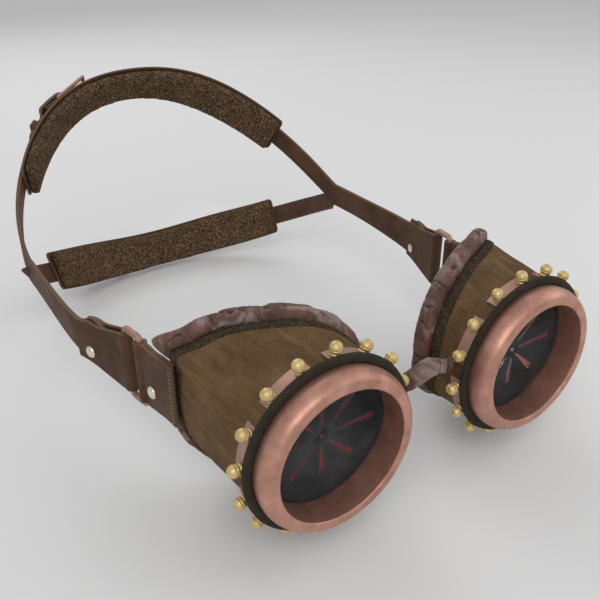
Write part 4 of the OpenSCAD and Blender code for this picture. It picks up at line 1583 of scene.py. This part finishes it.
@dataclass
class Headband:
    """Side straps, branches, pads, buckles and keepers."""

    layout: Layout
    strap_t: float = 2.0
    branch_w: float = 10.5
    strap_w: float = 15.0
    ogee: float = 4.3
    buckle_turn: float = 116.0
    buckle_l: float = 19.0
    buckle_wire: float = 1.8
    tongue_l: float = 26.0
    heel_gap: float = 0.15
    fold_t: float = 1.5
    fold_l: float = 8.0
    prong_slot: float = 2.6
    tab_l: float = 29.0
    tab_turn: float = 15.8
    rear_bar: tuple[float, float] = (75.4007, 75.8832)
    side_z: float = -0.7
    junction_z: float = 3.0
    backing_t: float = 1.2
    pad_t: float = 4.6
    pads: dict[str, Pad] = field(
        default_factory=lambda: {"upper": Pad(UPPER, 24.8, 32.0, rise=5.4), "lower": Pad(LOWER, 21.6, 37.5)}
    )

    def build(self) -> None:
        """Builds and dresses every piece of the headband."""
        self.make_straps()
        for word, pad in self.pads.items():
            self.make_backing(word, pad)
            self.make_pad(word, pad)
            frame = softened(f"{word}_buckle", f"{word}_buckle_frame", 0.01, 1)
            prong = softened(f"{word}_prong", f"{word}_buckle_prong", 0.05, 1)
            keeper = softened(f"{word}_keeper", f"{word}_strap_keeper", 0.3)
            dress(frame, CLIP_COPPER, "headband")
            dress(prong, CLIP_COPPER, f"{word}_prong_body")
            dress(keeper, STRAP, "headband")

    def strip(
        self,
        name: str,
        branch: Branch,
        turns: Sequence[float],
        width: Callable[[float], float],
        low: float,
        high: float,
        lift: Callable[[float], float] = lambda a: 0.0,
        slide: Callable[[float], float] = lambda a: 0.0,
    ) -> Obj:
        """Run of strap along a branch.

        Args:
            name: Name of the piece.
            branch: The branch.
            turns: Turns in degrees.
            width: Width at a turn.
            low: Inner face.
            high: Outer face.
            lift: Outward lift at a turn.
            slide: Upward shift at a turn.

        Returns:
            The new object.
        """
        rings = []
        for a in turns:
            section = [(x + slide(a), z + lift(a)) for x, z in round_strip(width(a), low, high)]
            rings.append(self.layout.row(branch.ring(a, section)))
        return loft(name, rings, rim=STRIP_RIM)

    def side_line(self, t: float) -> tuple[Array, Array]:
        """Point and direction of the side strap, seen from above, at a share t of its length.

        Args:
            t: The share.

        Returns:
            The point and the direction.
        """
        turn = math.radians(self.tab_turn)
        d = np.array([math.sin(turn), math.cos(turn)])
        start = np.array(self.rear_bar) + d * self.tab_l
        ctrl = [start - d * 2, start + d * 8, np.array([84.4, 146.0]), np.array([84.4, 170.0])]

        def at(s: float) -> Array:
            """Point of the cubic curve."""
            k = 1 - s
            return k**3 * ctrl[0] + 3 * k * k * s * ctrl[1] + 3 * k * s * s * ctrl[2] + s**3 * ctrl[3]

        return at(t), unit(at(min(t + 0.01, 1)) - at(max(t - 0.01, 0)))

    def side_strip(self, name: str, side: Side) -> Obj:
        """Side strap from the tab to where it branches.

        Args:
            name: Name of the piece.
            side: Its side.

        Returns:
            The new object.
        """
        rings, half_t = [], self.strap_t / 2 - 0.05
        for i in range(61):
            t = i / 60
            p, d = self.side_line(t)
            out = np.array([d[1], -d[0], 0])
            width = mix(self.strap_w, self.branch_w + 1.4, smooth(t * 1.3))
            z = mix(self.side_z, self.junction_z - 0.6, smooth(t))
            section = round_strip(width, -half_t, half_t)
            rings.append(self.layout.row([np.array([p[0], p[1], z + q[0]]) + out * q[1] for q in section]))
        return loft(name, rings, side, rim=STRIP_RIM)

    def strap_end(self, name: str, side: Side) -> Obj:
        """Strap end between the tab's leaves, with its ogee bump.

        Args:
            name: Name of the piece.
            side: Its side.

        Returns:
            The new object.
        """
        turn = math.radians(self.tab_turn)
        d, out = np.array([math.sin(turn), math.cos(turn), 0]), np.array([math.cos(turn), -math.sin(turn), 0])
        bar = np.array([self.rear_bar[0], self.rear_bar[1], 0])
        rings = []
        for i in range(61):
            x = mix(7.0, self.tab_l + 0.5, i / 60)
            top = self.side_z + self.strap_w / 2 + self.ogee * bell(i / 60, 0.52, 0.27)
            bottom = self.side_z - self.strap_w / 2
            middle = bar + d * x + [0, 0, (top + bottom) / 2]
            section = round_strip(top - bottom, -self.strap_t / 2, self.strap_t / 2)
            rings.append(self.layout.row([middle + [0, 0, q[0]] + out * q[1] for q in section]))
        return loft(name, rings, side, rim=STRIP_RIM)

    def make_straps(self) -> None:
        """Both side straps with their branches."""
        low = 0.1 - self.strap_t / 2
        right, left = [], []
        for side, parts in ((Side.RIGHT, right), (Side.LEFT, left)):
            parts.append(self.strap_end(f"{side.word}_end", side))
            parts.append(self.side_strip(f"{side.word}_strip", side))
        for word, pad in self.pads.items():
            branch = pad.branch
            mm = branch.turn_length(self.buckle_turn)
            turns = np.arange(self.buckle_turn + 2.5 / mm, 179.01, 1.0)
            right.append(self.strip(f"{word}_fixed", branch, turns, lambda a: self.branch_w, low, -low))
            right.append(self.fold(f"{word}_fold", branch))
            left.append(self.tongue(f"{word}_tongue", branch, mm, low))
        for word, parts in (("right", right), ("left", left)):
            piece = joined(f"{word}_side_strap", parts)
            crisp(piece, 55)
            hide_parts(f"{word}_strap")
            dress(piece, STRAP, "headband")

    def fold(self, name: str, branch: Branch) -> Obj:
        """Fold of the fixed strap round the buckle's heel bar, on both sides of the prong.

        Args:
            name: Name of the piece.
            branch: The branch.

        Returns:
            The new object.
        """
        heel, tail, start = self.buckle_wire / 2, self.fold_l, 2.5
        heel_out, face = self.strap_t / 2 + heel + self.heel_gap, self.strap_t / 2
        r_in = heel + 0.05
        r_out = r_in + self.fold_t
        p, across, out, along = branch.frame(self.buckle_turn)

        def leaf(r: float) -> list[tuple[float, float]]:
            """One face of the fold, from its tail round the heel bar, at a radius."""
            bend = np.linspace(math.radians(100), math.radians(262), 16)
            flat = [(x, heel_out + r) for x in (tail, tail / 2, 0.0)]
            return flat + [(r * math.cos(t), heel_out + r * math.sin(t)) for t in bend]

        loop = leaf(r_out) + [(start, -face), (tail, -face), (tail, face), (start, face)] + leaf(r_in)[::-1]
        halves = []
        half, slot = self.branch_w / 2 - 0.2, self.prong_slot / 2
        for low, high in ((-half, -slot), (slot, half)):
            rings = []
            for y in (low, low + 0.15, high - 0.15, high):
                rings.append(self.layout.row([p + along * q[0] + out * q[1] + across * y for q in loop]))
            halves.append(loft(name, rings, rim=[0.0] * len(loop)))
        return joined(name, halves)

    def lift(self, x: float) -> float:
        """Lift of the tongue strap at a distance past the heel bar.

        Args:
            x: The distance in millimetres.

        Returns:
            The lift in millimetres.
        """
        rise = self.strap_t + self.buckle_wire + self.heel_gap + self.fold_t + 0.7
        rest, ramp, drop = self.strap_t + 0.3, self.buckle_l / 2, 6.0
        up = rise * smooth((x + self.buckle_l * 0.62) / ramp)
        return up - (rise - rest) * smooth((x - self.fold_l - 0.5) / drop)

    def tongue(self, name: str, branch: Branch, mm: float, low: float) -> Obj:
        """Tongue strap under the front bar, over the heel bar and on to its end.

        Args:
            name: Name of the piece.
            branch: The branch.
            mm: Length of a degree at the buckle, in millimetres.
            low: Inner face of the strap.

        Returns:
            The new object.
        """
        far, tip = self.buckle_turn + self.tongue_l / mm, 4.5
        turns = [*np.arange(1.0, 95.0, 1.0), *np.linspace(95.0, far, 70)]

        def width(a: float) -> float:
            """Width at a turn, rounded off towards the tip.

            Args:
                a: The turn in degrees.

            Returns:
                The width.
            """
            left = (far - a) * mm
            share = 1.0 if left > tip else 0.35 + 0.65 * math.sqrt(max(1 - (1 - left / tip) ** 2, 0))
            return self.branch_w * share

        def lift(a: float) -> float:
            """Lift at a turn."""
            return self.lift((a - self.buckle_turn) * mm)

        return self.strip(name, branch, turns, width, low, -low, lift)

    def make_backing(self, word: str, pad: Pad) -> None:
        """Leather backing of a pad.

        Args:
            word: The branch's name.
            pad: The pad's outline.
        """
        high = -self.strap_t / 2 - 0.3
        piece = self.strip(
            f"{word}_leather_backing",
            pad.branch,
            ends_first(pad.end, 180 - pad.end, 110),
            lambda a: pad.edges(a)[0],
            high - self.backing_t,
            high,
            slide=lambda a: pad.edges(a)[1],
        )
        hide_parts(f"{word}_pad_backing")
        dress(piece, STRAP, "headband")

    def make_pad(self, word: str, pad: Pad) -> None:
        """Felt pad, swollen by a short cloth run and then dressed.

        Args:
            word: The branch's name.
            pad: The pad's outline.
        """
        first, crown = -self.strap_t / 2 - self.backing_t - 0.6, 0.35
        rings = []
        for a in ends_first(pad.end + 0.4, 179.6 - pad.end, 150):
            t = (a - pad.end) / (180 - 2 * pad.end)
            k = 1 - 0.12 * abs(2 * t - 1) ** 8
            span, shift = pad.edges(a, 0.2)
            half, face = span / 2 - 0.5, first - self.pad_t * k
            ring = [(-half + 0.4, first), (half - 0.4, first), (half, first - 0.6)]
            ring += [(half, face + 1.0), (half - 0.5, face + 0.3)]
            ring += [(half * s, face - crown * (1 - s * s)) for s in (0.85, 0.6, 0.3, 0, -0.3, -0.6, -0.85)]
            ring += [(-half + 0.5, face + 0.3), (-half, face + 1.0), (-half, first - 0.6)]
            rings.append(self.layout.row(pad.branch.ring(a, [(x + shift, z) for x, z in ring])))
        piece = loft(f"{word}_felt_pad", rings)
        swell(piece, 1.5 * MM, 0.5 * MM)
        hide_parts(f"{word}_pad")
        dress(piece, PAD_FELT, "headband")


def swell(obj: Obj, voxel: float, cap: float) -> None:
    """Swells a pad with a short cloth run whose moves are capped.

    Args:
        obj: The pad; its mesh is replaced.
        voxel: Remesh size in metres.
        cap: Furthest that a point may move, in metres.
    """
    remesh = obj.modifiers.new("even", "REMESH")
    remesh.mode, remesh.voxel_size = "VOXEL", voxel
    apply_modifiers(obj)
    rest = positions(obj.data)
    cloth, frames = obj.modifiers.new("swell", "CLOTH"), 20
    cloth.settings.use_pressure = True
    cloth.settings.uniform_pressure_force = 4.0
    cloth.settings.effector_weights.gravity = 0.0
    cloth.settings.quality = 4
    cloth.point_cache.frame_start, cloth.point_cache.frame_end = 1, frames
    scene = bpy.context.scene
    for number in range(1, frames + 1):
        scene.frame_set(number)
    graph = bpy.context.evaluated_depsgraph_get()
    moved = positions(obj.evaluated_get(graph).data)
    obj.modifiers.clear()
    scene.frame_set(1)
    step = moved - rest
    length = np.linalg.norm(step, axis=1, keepdims=True)
    step *= np.minimum(1.0, cap / np.maximum(length, 1e-9))
    obj.data.vertices.foreach_set("co", (rest + step).astype(np.float32).ravel())
    subdivision = obj.modifiers.new("fine", "SUBSURF")
    subdivision.levels = subdivision.render_levels = 1
    apply_modifiers(obj)
    obj.data.shade_smooth()


def positions(mesh: bpy.types.Mesh) -> Array:
    """Points of a mesh, one per row.

    Args:
        mesh: The mesh.

    Returns:
        The points in metres.
    """
    co = np.zeros(len(mesh.vertices) * 3, np.float32)
    mesh.vertices.foreach_get("co", co)
    return co.reshape(-1, 3).astype(float)


def apply_modifiers(obj: Obj) -> None:
    """Replaces an object's mesh by its evaluated one and drops the modifiers.

    Args:
        obj: The object.
    """
    graph = bpy.context.evaluated_depsgraph_get()
    made = bpy.data.meshes.new_from_object(obj.evaluated_get(graph), depsgraph=graph)
    obj.modifiers.clear()
    obj.data = made


@dataclass
class Studio:
    """Camera, soft lights, floor and pale surroundings."""

    layout: Layout
    camera_mm: tuple[float, float, float] = (-143.296, -136.350, 140.464)
    right: tuple[float, float, float] = (0.82732, -0.56165, -0.00934)
    down: tuple[float, float, float] = (-0.27508, -0.39060, -0.87850)
    ahead: tuple[float, float, float] = (0.48976, 0.72937, -0.47766)
    focal_px: float = 706.10
    frame_px: float = 600.0
    target: tuple[float, float, float] = (0.0, 0.0, 0.05)
    floor_half: float = 4.0
    floor_z: float = -0.0005

    def build(self) -> None:
        """Builds the studio."""
        scene = bpy.context.scene
        scene.view_settings.view_transform = "Standard"
        self.make_camera(scene)
        self.make_world(scene)
        self.make_floor()
        self.lamp("key", (-0.55, -0.75, 0.85), 0.7, 4.2)
        self.lamp("fill", (0.75, -0.35, 0.55), 0.8, 1.5)
        self.lamp("back", (0.1, 0.85, 0.75), 0.6, 2.0)

    def make_camera(self, scene: bpy.types.Scene) -> None:
        """Camera at the photograph's viewpoint.

        Args:
            scene: The scene.
        """
        data = bpy.data.cameras.new("photo_camera")
        data.sensor_width = 36.0
        data.lens = self.focal_px / self.frame_px * data.sensor_width
        data.clip_start, data.clip_end = 0.01, 20.0
        camera = linked("photo_camera", data)
        basis = Matrix((Vector(self.right), -Vector(self.down), -Vector(self.ahead))).transposed()
        camera.rotation_euler = basis.to_euler()
        camera.location = Vector(self.layout.row([self.camera_mm])[0])
        scene.camera = camera

    def make_world(self, scene: bpy.types.Scene) -> None:
        """Soft grey light on the object, and near white to the camera and through the glass.

        Args:
            scene: The scene.
        """
        world = bpy.data.worlds.new("studio")
        scene.world = world
        world.use_nodes = True
        world.node_tree.nodes.clear()
        g = Graph(world.node_tree)
        path = g.add("ShaderNodeLightPath").outputs
        seen = g.math("MAXIMUM", path["Is Camera Ray"], path["Is Transmission Ray"])
        light = g.add("ShaderNodeBackground", None, Color=(1, 1, 1, 1), Strength=0.55)
        pale = g.add("ShaderNodeBackground", None, Color=(0.92, 0.92, 0.92, 1), Strength=1.0)
        both = g.add("ShaderNodeMixShader", None, _0=seen, _1=light.outputs[0], _2=pale.outputs[0])
        g.add("ShaderNodeOutputWorld", None, Surface=both.outputs[0])

    def make_floor(self) -> None:
        """Plain pale floor under the goggles."""
        mesh = bpy.data.meshes.new("floor")
        corners = ((-1, -1), (1, -1), (1, 1), (-1, 1))
        verts = [(x * self.floor_half, y * self.floor_half, self.floor_z) for x, y in corners]
        mesh.from_pydata(verts, [], [(0, 1, 2, 3)])
        floor = linked("floor", mesh)
        material = bpy.data.materials.new("pale_floor")
        material.use_nodes = True
        shader = material.node_tree.nodes["Principled BSDF"]
        shader.inputs["Base Color"].default_value = (0.80, 0.80, 0.80, 1)
        shader.inputs["Roughness"].default_value = 0.9
        floor.data.materials.append(material)

    def lamp(self, name: str, at: tuple[float, float, float], size: float, power: float) -> None:
        """Square soft lamp aimed at the goggles.

        Args:
            name: Name of the lamp.
            at: Its place in metres.
            size: Side of its square in metres.
            power: Power in watts.
        """
        data = bpy.data.lights.new(name, "AREA")
        data.size, data.energy = size, power
        lamp = linked(name, data)
        lamp.location = at
        lamp.rotation_euler = (Vector(self.target) - Vector(at)).to_track_quat("-Z", "Y").to_euler()


def main() -> None:
    """Builds the goggles round the frame and the studio round the goggles."""
    logging.basicConfig(level=logging.INFO, format="%(name)s %(message)s")
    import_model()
    layout = Layout()
    layout.find_origin()
    for side in Side:
        EyeCup(layout, side).build()
        SideHardware(layout, side).build()
    Headband(layout).build()
    Studio(layout).build()


if __name__ == "__main__":
    main()
